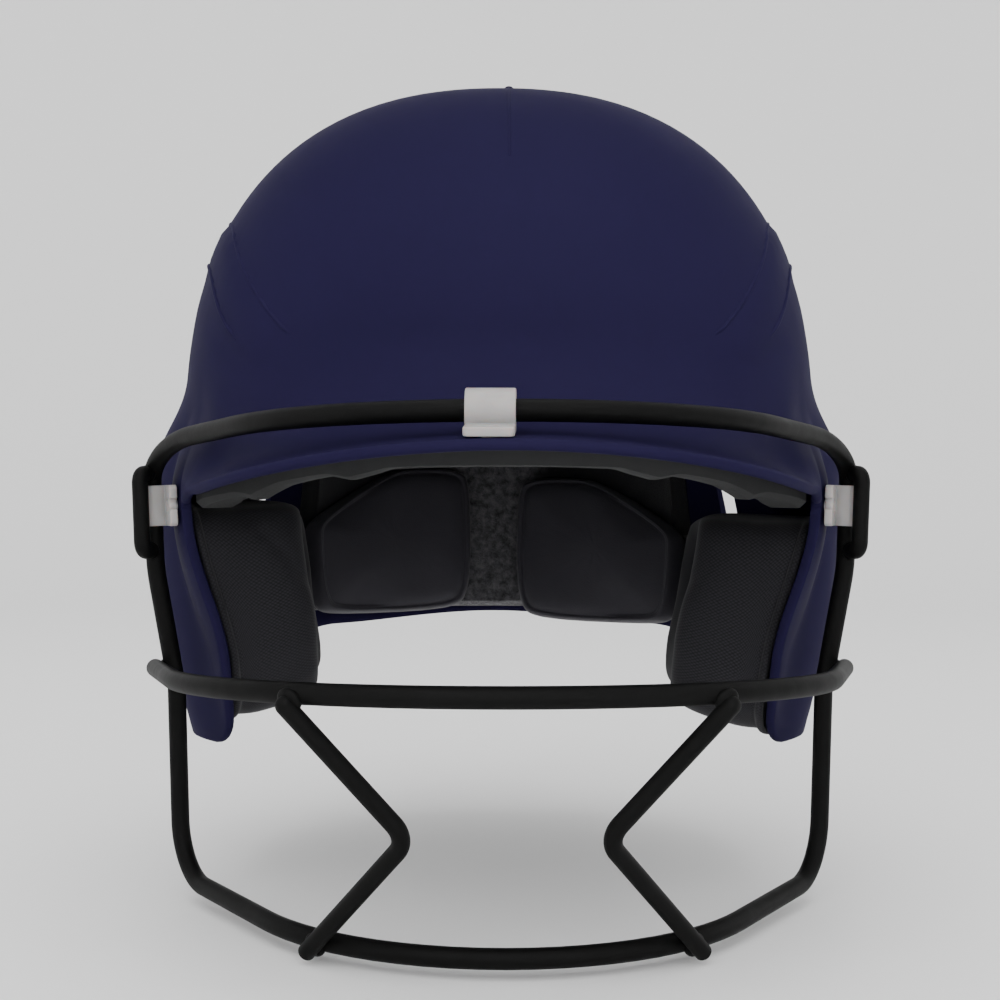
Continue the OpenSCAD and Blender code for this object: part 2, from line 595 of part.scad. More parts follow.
// A crowned cushion round a middle place, with half sizes as an angle and a height. Its rings run
// from the middle of its head side, over its rounded rim, to the side that is stuck down: each is
// [share, height, whether it follows the head], where a share of 1 is the rim and a height is
// measured from the base, whose depth is below the shell's outer face. The height fades with the
// angle as thin says, and a cut takes the upper (1) or lower (-1) front corner away.
cushion_cols = 32;
module cushion(mid, half, corner, base, profile, thin = function(a) 1, cut = undef) {
    function place(share, i) = let (t = i * 360 / cushion_cols, x = signed_pow(cos(t), 2 / corner),
            y = signed_pow(sin(t), 2 / corner),
            over = is_undef(cut) ? 0 : (cut[2] * y - cut[1] * x) / cut[0], k = share / max(1, over))
        [mid[0] + half[0] * k * x, mid[1] + half[1] * k * y];
    function lift(q, p) = p[2] ? head_side(q[0], q[1], base + p[1] * thin(q[0]))
        : inside(q[0], q[1], base + p[1]);
    ring_solid([for (p = profile) [for (i = [0:cushion_cols - 1]) lift(place(p[0], i), p)]],
        lift(mid, profile[0]), lift(mid, profile[len(profile) - 1]));
}

// The back pads: a welded seam runs round each, inside its rim, and a corner is cut away
back_a = 153.2;
back_half = [21.7, 31.3];
back_z = -18.3;
back_corner = 5;
back_cut = [0.87, 0.62, 1];     // place and slope of the cut in half sizes, and which corner
back_gap = 0.68;                // distance from a pad's hollow side to the nape liner
back_base = liner_base + liner_t + back_gap;
module back_pad_right() {
    t = back_pad_t;
    color(knit_black) cushion([back_a, back_z], back_half, back_corner, back_base, [[0.3, t, true],
        [0.6, t * 0.98, true], [0.78, t * 0.93, true], [0.88, t * 0.82, true], [0.925, t * 0.68, true],
        [0.96, t * 0.66, true], [0.99, t * 0.5, true], [1, t * 0.25, true], [0.96, 0, true],
        [0.5, 0, true], [0.2, 0, true]], cut = back_cut);
}
module back_pad_left() {
    mirror([1, 0, 0]) back_pad_right();
}

// The ear pads: deep blocks with a piped rim and a round recess for the ear, thinner at the rear
ear_front = 56.5;               // angle of the front edge
ear_rear = nape_a - 2;
ear_mid = [(ear_front + ear_rear) / 2, -39.5];
ear_half = [(ear_rear - ear_front) / 2, 37.5];
ear_corner = 6;
ear_cut = [2.77, 2.3, -1];       // follows the rounded front of the flap's tip
ear_fade = 0.26;                // share of the thickness that is lost towards the rear
pipe = [3, 1.5];                // heights of the piped rim's top and middle
patch_gap = 0.64;
patch_base = liner_base + patch_gap;
ear_gap = 0.8;                  // distance from its flat side to the patches
ear_base = patch_base + patch_t + ear_gap;
module ear_pad_right() {
    t = ear_pad_t;
    color(knit_black) difference() {
        cushion(ear_mid, ear_half, ear_corner, ear_base, [[0.5, t, true], [0.82, t * 0.99, true],
            [0.93, t * 0.95, true], [0.975, t * 0.86, true], [0.985, t * 0.6, true],
            [0.97, t * 0.25 + 4, true], [0.99, pipe[0], false], [1, pipe[1], false],
            for (share = [0.98, 0.86, 0.74, 0.6, 0.45, 0.3]) [share, 0, false]],
            thin = function(a) 1 - ear_fade * ramp((a - ear_front) / (ear_rear - ear_front)),
            cut = ear_cut);
        ear_bore(ear_recess_r);
    }
}
module ear_pad_left() {
    mirror([1, 0, 0]) ear_pad_right();
}

// Hook and loop patches, ahead of the ear opening and behind it, on each side
patch_in = [13.5, 3];           // angles from the pad's front edge, and from its rear one, to them
patch_w = [10, 8];              // angles that they take up
patch_a = [[ear_front + patch_in[0], ear_front + patch_in[0] + patch_w[0]],
    [ear_rear - patch_in[1] - patch_w[1], ear_rear - patch_in[1]]];
patch_z = [-18, -58];
module pad_patches() {
    color(knit_black) both_sides() for (span = patch_a) capped_solid([for (k = [0:4])
        let (a = mix(span[0], span[1], k / 4)) concat(
            [for (j = [0:4]) inside(a, mix(patch_z[0], patch_z[1], j / 4), patch_base)],
            [for (j = [4:-1:0]) inside(a, mix(patch_z[0], patch_z[1], j / 4),
                patch_base + patch_t)])]);
}

shell();
brow_pad();
side_liner_left();
side_liner_right();
nape_liner();
crown_pad();
back_pad_left();
back_pad_right();
ear_pad_left();
ear_pad_right();
pad_patches();
brow_hoop();
chin_bar();
middle_bar();
cheek_bar_left();
cheek_bar_right();
temple_loop_left();
temple_loop_right();
bill_clip();
temple_clip_left();
temple_clip_right();
clip_screws();
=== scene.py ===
"""A softball helmet: a padded navy shell with a black wire face cage, dressed over its solid model."""
import math

import bmesh
import bpy
from mathutils import Matrix, Vector, noise
from mathutils.kdtree import KDTree


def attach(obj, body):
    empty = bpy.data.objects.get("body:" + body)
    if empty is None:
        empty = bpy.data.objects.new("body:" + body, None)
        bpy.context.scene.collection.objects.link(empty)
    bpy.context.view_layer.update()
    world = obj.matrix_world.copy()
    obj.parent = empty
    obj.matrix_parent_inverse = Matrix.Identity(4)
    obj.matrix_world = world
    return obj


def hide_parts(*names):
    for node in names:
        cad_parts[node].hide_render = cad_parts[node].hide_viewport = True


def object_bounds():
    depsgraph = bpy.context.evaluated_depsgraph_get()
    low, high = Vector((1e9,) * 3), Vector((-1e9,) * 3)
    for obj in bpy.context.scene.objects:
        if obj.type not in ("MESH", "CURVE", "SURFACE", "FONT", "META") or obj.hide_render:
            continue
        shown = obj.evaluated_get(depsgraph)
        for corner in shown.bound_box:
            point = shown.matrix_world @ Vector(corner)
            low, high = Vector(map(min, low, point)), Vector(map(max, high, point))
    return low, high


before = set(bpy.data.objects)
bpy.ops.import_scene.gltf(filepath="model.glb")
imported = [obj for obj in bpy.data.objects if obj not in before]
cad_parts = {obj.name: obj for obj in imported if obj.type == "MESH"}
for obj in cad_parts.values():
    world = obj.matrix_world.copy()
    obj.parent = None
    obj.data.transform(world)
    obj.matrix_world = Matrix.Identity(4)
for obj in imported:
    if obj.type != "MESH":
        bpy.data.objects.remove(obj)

solid_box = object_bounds()

# The shell: one injection-moulded hard shell in navy, with a bill, two ear flaps and a back rim.
# The mould gives it satin sides, a raised panel over each ear section, a faint rib on its centre line
# and a rounded rim, and the ear openings and vents are cut through it.
MM = 0.001
wall_t = 3.2
dome_w, dome_front, dome_back, crown_h = 220, 122, 128, 144
widest_z, dome_pow, plan_pow = 22, 2.43, 2.2
flap_drop, nape_drop, rim_tuck, tuck_pow = 81, 46, 13.5, 2.2
temple_flare, ear_bulge = 7.5, 11.5
# Angles and heights where the brim's flare, and the ear section's bulge, start, are full, fade and end
flare_a, flare_z = (44, 54, 58, 84), (32, 4, -4, -52)
bulge_a, bulge_z = (60, 84, 108, 146), (44, 12)


def sin(a):
    return math.sin(math.radians(a))


def cos(a):
    return math.cos(math.radians(a))


def ramp(t):
    t = min(1, max(0, t))
    return t * t * (3 - 2 * t)


def mix(a, b, t):
    return a * (1 - t) + b * t


def off_front(a):
    """Angle from the front, the same on both sides."""
    return abs((a + 180) % 360 - 180)


def dome_r(a, z):
    """Distance of the plain dome from the origin's upright, at an angle from the front."""
    reach = dome_front if cos(a) > 0 else dome_back
    plan = (abs(sin(a) / (dome_w / 2)) ** plan_pow + abs(cos(a) / reach) ** plan_pow) ** (-1 / plan_pow)
    up = max(0, (z - widest_z) / (crown_h - widest_z))
    tuck = rim_tuck * (max(0, widest_z - z) / (widest_z + flap_drop)) ** tuck_pow
    return plan * max(0, 1 - up ** dome_pow) ** (1 / dome_pow) - tuck


def swell(a, z):
    """How far the brim's flare and the ear section's bulge stand out beyond the dome."""
    side = off_front(a)
    flare = temple_flare * ramp((side - flare_a[0]) / (flare_a[1] - flare_a[0])) \
        * ramp((flare_a[3] - side) / (flare_a[3] - flare_a[2])) \
        * ramp((flare_z[0] - z) / (flare_z[0] - flare_z[1])) \
        * ramp((z - flare_z[3]) / (flare_z[2] - flare_z[3]))
    bulge = ear_bulge * ramp((side - bulge_a[0]) / (bulge_a[1] - bulge_a[0])) \
        * ramp((bulge_a[3] - side) / (bulge_a[3] - bulge_a[2])) \
        * ramp((bulge_z[0] - z) / (bulge_z[0] - bulge_z[1]))
    return max(flare, bulge)


def at(a, z, r):
    return Vector((r * sin(a), -r * cos(a), z))


def face(a, z):
    return at(a, z, dome_r(a, z) + swell(a, z))


def bare(a, z):
    """A place on the plain dome, without the flare and the bulge."""
    return at(a, z, dome_r(a, z))


def outward(a, z, surface=face):
    """The way out of a surface, square to it."""
    across = surface(a + 1, z) - surface(a - 1, z)
    return across.cross(surface(a, z + 1) - surface(a, z - 1)).normalized()


def inside(a, z, depth):
    """A place under the shell's outer face."""
    return face(a, z) - outward(a, z) * depth


def head_side(a, z, depth):
    """A place on a pad's side that faces the head, which keeps to the plain dome."""
    return bare(a, z) - outward(a, z, bare) * depth


def along(points, x):
    """The value at x on straight lines between points of (x, value)."""
    if x <= points[0][0]:
        return points[0][1]
    for (x0, y0), (x1, y1) in zip(points, points[1:]):
        if x <= x1:
            return mix(y0, y1, (x - x0) / (x1 - x0))
    return points[-1][1]


# Heights of the panel's upper edge and of the groove below it, at angles from the front
panel_edge = [(30, 47), (32, 51), (38.5, 60.7), (43.8, 70.8), (50.5, 80.6), (55, 88), (62, 93.5),
              (72, 96.5), (90, 97), (110, 94), (130, 86), (145, 76)]
groove_edge = [(40, 46), (45, 52), (48, 56.5), (53, 64.5), (58, 73), (64, 78.5), (74, 82.5), (90, 84),
               (110, 81), (130, 73), (145, 64)]
# Of each: its height, and the widths of its rise, its flat and its fall, square to its edge
panel_form, groove_form = (1.1, 2.6, 3, 26), (0.55, 2.2, 1.5, 12)
edge_slant = 0.74
panel_a = (31, 40, 130, 150)


def step_below(edge, form, side, z):
    """Height of a step that lies below an edge."""
    height, rise, flat, fall = form
    below = (along(edge, side) - z) * edge_slant
    return height * ramp(below / rise) * (1 - ramp((below - flat) / fall))


def moulding(a, z):
    """Height of the raised panels over the ear sections above the plain shell."""
    side = off_front(a)
    panel = step_below(panel_edge, panel_form, side, z) - step_below(groove_edge, groove_form, side, z)
    return panel * ramp((side - panel_a[0]) / (panel_a[1] - panel_a[0])) \
        * ramp((panel_a[3] - side) / (panel_a[3] - panel_a[2]))


# The bill turns out of the forehead at crease_z, and its edge runs between the temple corners. Over
# bill_blend degrees at each side it turns into the face of the flap.
bill_l, bill_z, bill_droop, bill_slope, bill_blend = 64, 13.5, 13.5, 4, 16
crease_z, temple_a, bill_root_y, bill_pow, droop_pow = 52, 56, -20, 2.25, 1.9
# From this share of its half width on, the bill's edge eases into the temple corner
corner_from, corner_run = 0.85, 0.15
temple_z = bill_z - bill_droop
temple = face(temple_a, temple_z)
bill_reach = dome_front + bill_l + bill_root_y
corner_t = math.degrees(math.acos((-(temple.y - bill_root_y) / bill_reach) ** (bill_pow / 2)))
bill_half_w = temple.x / sin(corner_t) ** (2 / bill_pow)


def bill_edge(share):
    """A place on the bill's edge, from one temple corner at -1 to the other at 1."""
    t = corner_t * abs(share)
    x = bill_half_w * sin(t) ** (2 / bill_pow)
    z = bill_z + wall_t - bill_droop * (x / temple.x) ** droop_pow
    z = mix(z, temple_z, ramp((abs(share) - corner_from) / corner_run))
    return Vector((math.copysign(x, share), bill_root_y - bill_reach * cos(t) ** (2 / bill_pow), z))


def bill_face(a, t):
    """A place on the bill, from the crease at 0 to the edge at 1."""
    top, end = face(a, crease_z), bill_edge(a / temple_a)
    run = Vector((end.x - top.x, end.y - top.y, 0))
    rise = run.length * math.tan(math.radians(bill_slope))
    down = (face(a, crease_z - 1) - top).normalized()
    second = top + down * (crease_z - end.z - rise * 0.6) * 0.7
    third = end - run * 0.5 + Vector((0, 0, rise * 0.5))
    s = 1 - t
    bill = top * s ** 3 + second * 3 * t * s * s + third * 3 * t * t * s + end * t ** 3
    flap = face(a, mix(crease_z, end.z, t)) + (end - face(a, end.z)) * t * t
    return mix(bill, flap, ramp((abs(a) - temple_a + bill_blend) / bill_blend))


# The rim: the flap's front edge rounds off at front_a, its tip is at tip_a, its lower edge rises from
# rear_a on, and it meets the nape at rise_a
front_a, front_z, tip_a, rear_a, rise_a, nape_dip = 54, -38, 70, 98, 146, 4


def flap_rim(s):
    """Angle and height of the rim, from the temple corner at 0 to the middle of the nape at 5."""
    if s < 1:
        return mix(temple_a, front_a, s), mix(temple_z, front_z, s)
    if s < 2:
        turn = (s - 1) * 90
        return tip_a - (tip_a - front_a) * cos(turn), front_z - (flap_drop + front_z) * sin(turn)
    if s < 3:
        return mix(tip_a, rear_a, s - 2), -flap_drop
    if s < 4:
        return mix(rear_a, rise_a, s - 3), mix(-flap_drop, -nape_drop - nape_dip, ramp(s - 3))
    return mix(rise_a, 180, s - 4), -nape_drop - nape_dip + nape_dip * ramp(s - 4)


# How far along the rim each of its five stretches ends, by the share of the shell's columns
rim_knots = [(0, 0), (6 / 29, 1), (12 / 29, 2), (16 / 29, 3), (24 / 29, 4), (1, 5)]
lowest_phi = math.degrees(math.asin(((crease_z - widest_z) / (crown_h - widest_z)) ** (dome_pow / 2)))


def shell_upper(a, share):
    """A place on the dome, from the crown down to the crease."""
    z = widest_z + (crown_h - widest_z) * sin(90 - (90 - lowest_phi) * share) ** (2 / dome_pow)
    return face(a, z) + outward(a, min(z, crown_h - 3)) * moulding(a, z)


def shell_lower(a, t):
    """A place below the crease: on the bill in front, and on a flap or the nape elsewhere."""
    fade = 1 - ramp(t / 0.5)
    if abs(a) <= temple_a:
        p = bill_face(a, t)
        return p + outward(a, max(p.z, widest_z)) * moulding(a, p.z) * fade
    low_a, low_z = flap_rim(along(rim_knots, (abs(a) - temple_a) / (180 - temple_a)))
    b, z = math.copysign(mix(abs(a), low_a, t), a), mix(crease_z, low_z, t)
    return face(b, z) + outward(b, z) * moulding(b, z) * fade


def skin(rows):
    """A closed mesh through rows of places, with its seam and poles merged and a map in metres."""
    across, down = len(rows[0]) - 1, len(rows) - 1
    widest = max(rows, key=lambda row: sum((q - p).length for p, q in zip(row, row[1:])))
    run_u, run_v = [0], [0]
    for p, q in zip(widest, widest[1:]):
        run_u.append(run_u[-1] + (q - p).length * MM)
    for above, below in zip(rows, rows[1:]):
        run_v.append(run_v[-1] + sum((q - p).length for p, q in zip(above, below)) / across * MM)
    bm = bmesh.new()
    bmesh.ops.create_grid(bm, x_segments=across, y_segments=down, size=0.5)
    weave = bm.loops.layers.uv.new("weave")
    grid = {v: (round((v.co.x + 0.5) * across), round((0.5 - v.co.y) * down)) for v in bm.verts}
    for f in bm.faces:
        for loop in f.loops:
            i, k = grid[loop.vert]
            loop[weave].uv = (run_u[i], run_v[k])
    for v, (i, k) in grid.items():
        v.co = rows[k][i] * MM
    bmesh.ops.remove_doubles(bm, verts=bm.verts, dist=1e-6)
    bmesh.ops.recalc_face_normals(bm, faces=bm.faces)
    return bm


def coat(obj, finish):
    obj.data.materials.clear()
    obj.data.materials.append(finish)


def settle(obj, crease=35):
    """Applies an object's modifiers and shades it smooth between its sharp edges."""
    bpy.context.view_layer.update()
    done = bpy.data.meshes.new_from_object(obj.evaluated_get(bpy.context.evaluated_depsgraph_get()))
    obj.modifiers.clear()
    obj.data = done
    done.shade_smooth()
    done.set_sharp_from_angle(angle=math.radians(crease))
    return obj


def placed(name, data):
    """A new object in the scene, with its data or with the mesh that was built for it."""
    if isinstance(data, bmesh.types.BMesh):
        mesh = bpy.data.meshes.new(name)
        data.to_mesh(mesh)
        data.free()
        data = mesh
    obj = bpy.data.objects.new(name, data)
    bpy.context.scene.collection.objects.link(obj)
    return obj


def show(bm, name, finish, nodes=(), modifiers=(), crease=35):
    """Makes a mesh an object that rides on the frame and stands for CAD nodes."""
    obj = placed(name, bm)
    for kind, values in modifiers:
        step = obj.modifiers.new(kind.title(), kind)
        for key, value in values.items():
            setattr(step, key, value)
    settle(obj, crease)
    coat(obj, finish)
    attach(obj, "root")
    if nodes:
        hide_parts(*nodes)
    return obj


def place_of(tree, scale=(1, 1, 1), uv=False):
    """Coordinates on the object, or along its weave."""
    source = tree.nodes.new("ShaderNodeTexCoord")
    mapping = tree.nodes.new("ShaderNodeMapping")
    mapping.inputs["Scale"].default_value = scale
    tree.links.new(source.outputs["UV" if uv else "Object"], mapping.inputs["Vector"])
    return mapping.outputs["Vector"]


def finish_of(name, colour, roughness, **sockets):
    """A new material, its shader and its coordinates."""
    material = bpy.data.materials.new(name)
    material.use_nodes = True
    tree = material.node_tree
    shader = tree.nodes["Principled BSDF"]
    shader.inputs["Base Color"].default_value = (*colour, 1)
    shader.inputs["Roughness"].default_value = roughness
    for key, value in sockets.items():
        shader.inputs[key.replace("_", " ")].default_value = value
    return material, shader, place_of(tree)


def speckle(where, scale, detail=2, rough=0.5):
    """A fine random pattern's value at the coordinates."""
    tree = where.id_data
    node = tree.nodes.new("ShaderNodeTexNoise")
    node.inputs["Scale"].default_value = scale
    node.inputs["Detail"].default_value = detail
    node.inputs["Roughness"].default_value = rough
    tree.links.new(where, node.inputs["Vector"])
    return node.outputs["Fac"]


def spread(value, low, high, into):
    """Maps a texture's value to a range and into a socket."""
    tree = value.id_data
    node = tree.nodes.new("ShaderNodeMapRange")
    node.inputs["To Min"].default_value = low
    node.inputs["To Max"].default_value = high
    tree.links.new(value, node.inputs["Value"])
    tree.links.new(node.outputs["Result"], into)


def stretched(value, low, high):
    """A texture's value between two levels, stretched to run from 0 to 1."""
    tree = value.id_data
    node = tree.nodes.new("ShaderNodeMapRange")
    node.inputs["From Min"].default_value = low
    node.inputs["From Max"].default_value = high
    tree.links.new(value, node.inputs["Value"])
    return node.outputs["Result"]


def tint(shader, value, dark, light):
    """Colours a surface between two colours by a texture's value."""
    tree = value.id_data
    node = tree.nodes.new("ShaderNodeMix")
    node.data_type = "RGBA"
    node.inputs[6].default_value = (*dark, 1)
    node.inputs[7].default_value = (*light, 1)
    tree.links.new(value, node.inputs[0])
    tree.links.new(node.outputs[2], shader.inputs["Base Color"])


def emboss(shader, heights, distance):
    """Adds up textures as a bump."""
    tree, last = shader.id_data, None
    for value, strength in heights:
        node = tree.nodes.new("ShaderNodeBump")
        node.inputs["Strength"].default_value = strength
        node.inputs["Distance"].default_value = distance
        tree.links.new(value, node.inputs["Height"])
        if last:
            tree.links.new(last, node.inputs["Normal"])
        last = node.outputs["Normal"]
    tree.links.new(last, shader.inputs["Normal"])


navy_plastic, shader, where = finish_of("navy_moulded_plastic", (0.0125, 0.0125, 0.043), 0.5,
                                        Specular_IOR_Level=0.006)
cloudy = speckle(where, 9, 4)
grain = speckle(where, 1400, 2)
tint(shader, cloudy, (0.0115, 0.0092, 0.0318), (0.0156, 0.0125, 0.0405))
spread(speckle(where, 60, 5, 0.7), 0.44, 0.56, shader.inputs["Roughness"])
emboss(shader, [(grain, 0.08), (speckle(where, 110, 1), 0.04)], 0.0002)

# The ear openings and the two slotted vents behind them, which lean back at their tops
ear_y, ear_z, ear_hole_r, ear_bore = 12, -30, 14, (60, 140)
vent_a, vent_z, vent_l, vent_w, vent_lean = 129, 4, 26, 8, 0.4
# How far the screws' cutters reach in and out from the shell's outer face, and the vents' both ways
cut_in, cut_out, vent_cut = 8, 5, 10


def drill(radius, start, end, sides=48, squeeze=None):
    """A cutter: a round bar between two points, or a slot if squeezed apart along a direction."""
    bm = bmesh.new()
    way = end - start
    turn = way.to_track_quat("Z", "Y").to_matrix().to_4x4()
    bmesh.ops.create_cone(bm, cap_ends=True, segments=sides, radius1=radius * MM, radius2=radius * MM,
                          depth=way.length * MM, matrix=Matrix.Translation((start + end) * MM / 2) @ turn)
    if squeeze:
        middle = (start + end) * MM / 2
        for v in bm.verts:
            side = (v.co - middle).dot(squeeze.normalized())
            v.co += squeeze * MM * (1 if side > 0 else -1) / 2
    return placed("cutter", bm)


# Where the hoop passes each temple, at leg_a, and the bill, at a share clip_t of its upper face
wire_d, clip_w, strap_t, wire_play, clip_gap = 6, 13.2, 2.5, 0.3, 0.2
brow_bow_r, leg_a, leg_lean, leg_lift, bill_clip_back = 88, 63, 2.4, 0.25, 0.1
flange_l, screw_reach, bill_clip_x = 15, 9.1, -4.5
loop_r = wire_d / 2 + wire_play + strap_t
seat = loop_r + clip_gap
leg_foot = face(leg_a, 0) + outward(leg_a, 0) * leg_lift
leg_way = (face(leg_a, clip_w / 2) - face(leg_a, -clip_w / 2)).normalized()
leg_in = outward(leg_a - leg_lean, 0).cross(leg_way).normalized()
leg_out = leg_way.cross(leg_in)
leg = leg_foot + leg_out * seat
clip_t = 0.83
brow_foot = bill_face(0, clip_t)
flange_t = clip_t + flange_l / (bill_face(0, clip_t + 0.01) - brow_foot).length * 0.01
forward = (bill_face(0, flange_t) - brow_foot).normalized()
brow_up = forward.cross(Vector((1, 0, 0)))
brow = brow_foot + brow_up * seat
bill_turn = math.degrees(math.asin(bill_clip_x / brow_bow_r))
bill_forward = Vector((cos(bill_turn), sin(bill_turn), 0)).cross(brow_up).normalized()
bill_screw = brow_foot + bill_forward * screw_reach \
    + Vector((bill_clip_x, brow_bow_r * (1 - cos(bill_turn)) + bill_clip_back, 0))
temple_screw = leg_foot + leg_in * screw_reach
screw_r, head_r, head_h = 2.15, 3.55, 1.8

cutters = []
for side in (-1, 1):
    near, far = (Vector((side * x, ear_y, ear_z)) for x in ear_bore)
    cutters.append(drill(ear_hole_r, near, far, 64))
    middle, out = face(side * vent_a, vent_z), outward(side * vent_a, vent_z)
    lean = Vector((0, vent_lean, 1))
    lean = (lean - out * lean.dot(out)).normalized() * (vent_l - vent_w)
    cutters.append(drill(vent_w / 2, middle - out * vent_cut, middle + out * vent_cut, 32, lean))
other_side = Vector((-1, 1, 1))
screws_at = [(bill_screw, brow_up), (temple_screw, leg_out),
             (temple_screw * other_side, leg_out * other_side)]
for foot, up in screws_at:
    cutters.append(drill(screw_r, foot - up * cut_in, foot + up * cut_out, 32))
    cutters.append(drill(head_r, foot - up * cut_in, foot - up * (wall_t - head_h), 32))

# The outer face, a rounded rim as thick as the wall, and the inner face back up to the crown
shell_cols, dome_rows, low_rows, rim_rows = 240, 36, 44, 6
outer = [[] for _ in range(dome_rows + low_rows)]
ends = []
for i in range(shell_cols + 1):
    a = i / shell_cols * 360 - 180
    for k in range(dome_rows):
        outer[k].append(shell_upper(a, (k + 1) / dome_rows))
    line = [shell_lower(a, j / 12) for j in range(13)]
    run = sum((p - q).length for p, q in zip(line, line[1:]))
    stop = 1 - wall_t / 2 / run
    for k in range(low_rows):
        outer[dome_rows + k].append(shell_lower(a, (k + 1) / low_rows * stop))
    ends.append(shell_lower(a, 1) - outer[-1][-1])
normals = []
for k, row in enumerate(outer):
    above, below = outer[max(0, k - 1)], outer[min(len(outer) - 1, k + 1)]
    across = [row[(i + 1) % shell_cols] - row[(i - 1) % shell_cols] for i in range(shell_cols + 1)]
    normals.append([v.cross(p - q).normalized() for v, p, q in zip(across, above, below)])
rim = []
for j in range(1, rim_rows):
    turn = 180 * j / rim_rows
    rim.append([p + n * (wall_t / 2 * (cos(turn) - 1)) + e * sin(turn)
                for p, n, e in zip(outer[-1], normals[-1], ends)])
inner = [[p - n * wall_t for p, n in zip(row, out)] for row, out in zip(outer, normals)]
crown, crown_in = Vector((0, 0, crown_h)), Vector((0, 0, crown_h - wall_t))
rows = [[crown] * (shell_cols + 1)] + outer + rim + inner[::-1] + [[crown_in] * (shell_cols + 1)]
cuts = [("BOOLEAN", {"object": c, "operation": "DIFFERENCE", "solver": "MANIFOLD"}) for c in cutters]
show(skin(rows), "shell_moulding", navy_plastic, ["shell"], cuts, 40)
for cutter in cutters:
    bpy.data.objects.remove(cutter)


def wire_mesh(bm, path, d, rounded=(1, 1), sides=24):
    """Sweeps a ring along a path, and rounds each end over a share of the wire's radius."""
    stops = [(p, 1.0) for p in path]
    for k, share in enumerate(rounded):
        if share:
            end, inner = stops[0][0], stops[1][0]
            way = (inner - end).normalized() * d / 2 * share
            dome = [(end + way * (1 - cos(t)), 1 - share * (1 - sin(t))) for t in (8, 24, 42, 60, 75, 90)]
            stops = dome + stops[1:]
        stops.reverse()
    frames = []
    before = (stops[1][0] - stops[0][0]).normalized()
    turn = Vector((0, 0, 1)).rotation_difference(before)
    for k, (p, r) in enumerate(stops):
        a, b = stops[max(0, k - 1)][0], stops[min(len(stops) - 1, k + 1)][0]
        way = (b - a).normalized()
        turn = before.rotation_difference(way) @ turn
        before = way
        size = Matrix.Scale(r * d / 2 * MM, 4)
        frames.append(Matrix.Translation(p * MM) @ turn.to_matrix().to_4x4() @ size)
    made = bmesh.ops.create_circle(bm, cap_ends=True, segments=sides, radius=1, matrix=frames[0])
    ring = set(made["verts"])
    edges = [e for e in bm.edges if e.verts[0] in ring and e.verts[1] in ring]
    for here, there in zip(frames, frames[1:]):
        out = bmesh.ops.extrude_edge_only(bm, edges=edges)["geom"]
        ring = {g for g in out if isinstance(g, bmesh.types.BMVert)}
        edges = [g for g in out if isinstance(g, bmesh.types.BMEdge)]
        edges = [e for e in edges if e.verts[0] in ring and e.verts[1] in ring]
        bmesh.ops.transform(bm, matrix=there @ here.inverted(), verts=list(ring))
    bmesh.ops.contextual_create(bm, geom=edges)
    bmesh.ops.recalc_face_normals(bm, faces=bm.faces)


# Fine beads stand on the shell along the panels' upper edges and along the crown's centre line, where
# the two halves of the mould met; a nub is left where it was filled.
bead_d, bead_sink, rib_d, rib_sink = 1.7, 0.35, 1.3, 0.42
bead_runs = [(panel_edge, 31, 128), (groove_edge, 44, 118)]
# How deep each bead's ends dive, and over how many degrees
front_dive, front_run, rear_dive, rear_run = 0.6, 3, 0.5, 40
rib_top, rib_drop, rib_x, rib_veer, rib_steps = 143.2, 38, 2, 1.2, 30
nub_at, nub_half = Vector((3.3, -33, 141.9)), (1.6, 2.6, 1.0)


def smoothed(points, a):
    return sum(along(points, a + d) for d in (-4, -2, 0, 2, 4)) / 5


def bead_place(points, a, side, start, stop):
    """A place on a bead's axis, which dives into the shell towards both of its ends."""
    z = smoothed(points, a)
    sink = bead_sink + front_dive * ramp((start + front_run - a) / front_run) \
        + rear_dive * ramp((a - stop + rear_run) / rear_run)
    return face(side * a, z) + outward(side * a, min(z, crown_h - 3)) * (moulding(a, z) - sink)


bm = bmesh.new()
for side in (-1, 1):
    for points, start, stop in bead_runs:
        path = [bead_place(points, a, side, start, stop) for a in range(start, stop + 1)]
        wire_mesh(bm, path, bead_d, sides=12)
path = []
for k in range(rib_steps + 1):
    share = k / rib_steps
    z = rib_top - rib_drop * share ** 1.5
    place = Vector((rib_x + rib_veer * (1 - share), -dome_r(0, z), z))
    path.append(place - outward(0, min(z, crown_h - 3)) * rib_sink)
wire_mesh(bm, path, rib_d, sides=12)
nub_size = Matrix.Diagonal((*(half * MM for half in nub_half), 1))
bmesh.ops.create_icosphere(bm, subdivisions=3, radius=1, matrix=Matrix.Translation(nub_at * MM) @ nub_size)
show(bm, "shell_beads", navy_plastic)

# The foam liner: die-cut grey foam glued to the shell, in a brow piece with a scalloped lower edge and
# a piece over each ear. Its cut edges are square and its skin is matt and finely pored.
liner_t, seat_gap = 8, 0.45
liner_base = wall_t + seat_gap
foam, shader, where = finish_of("grey_liner_foam", (0.03, 0.032, 0.029), 0.9, Specular_IOR_Level=0.25)
tint(shader, speckle(where, 25, 3), (0.0207, 0.021, 0.0215), (0.0414, 0.042, 0.0428))
pores = [(speckle(where, 1500, 3, 0.7), 0.35), (speckle(where, 90, 3), 0.25)]
emboss(shader, pores, 0.0006)


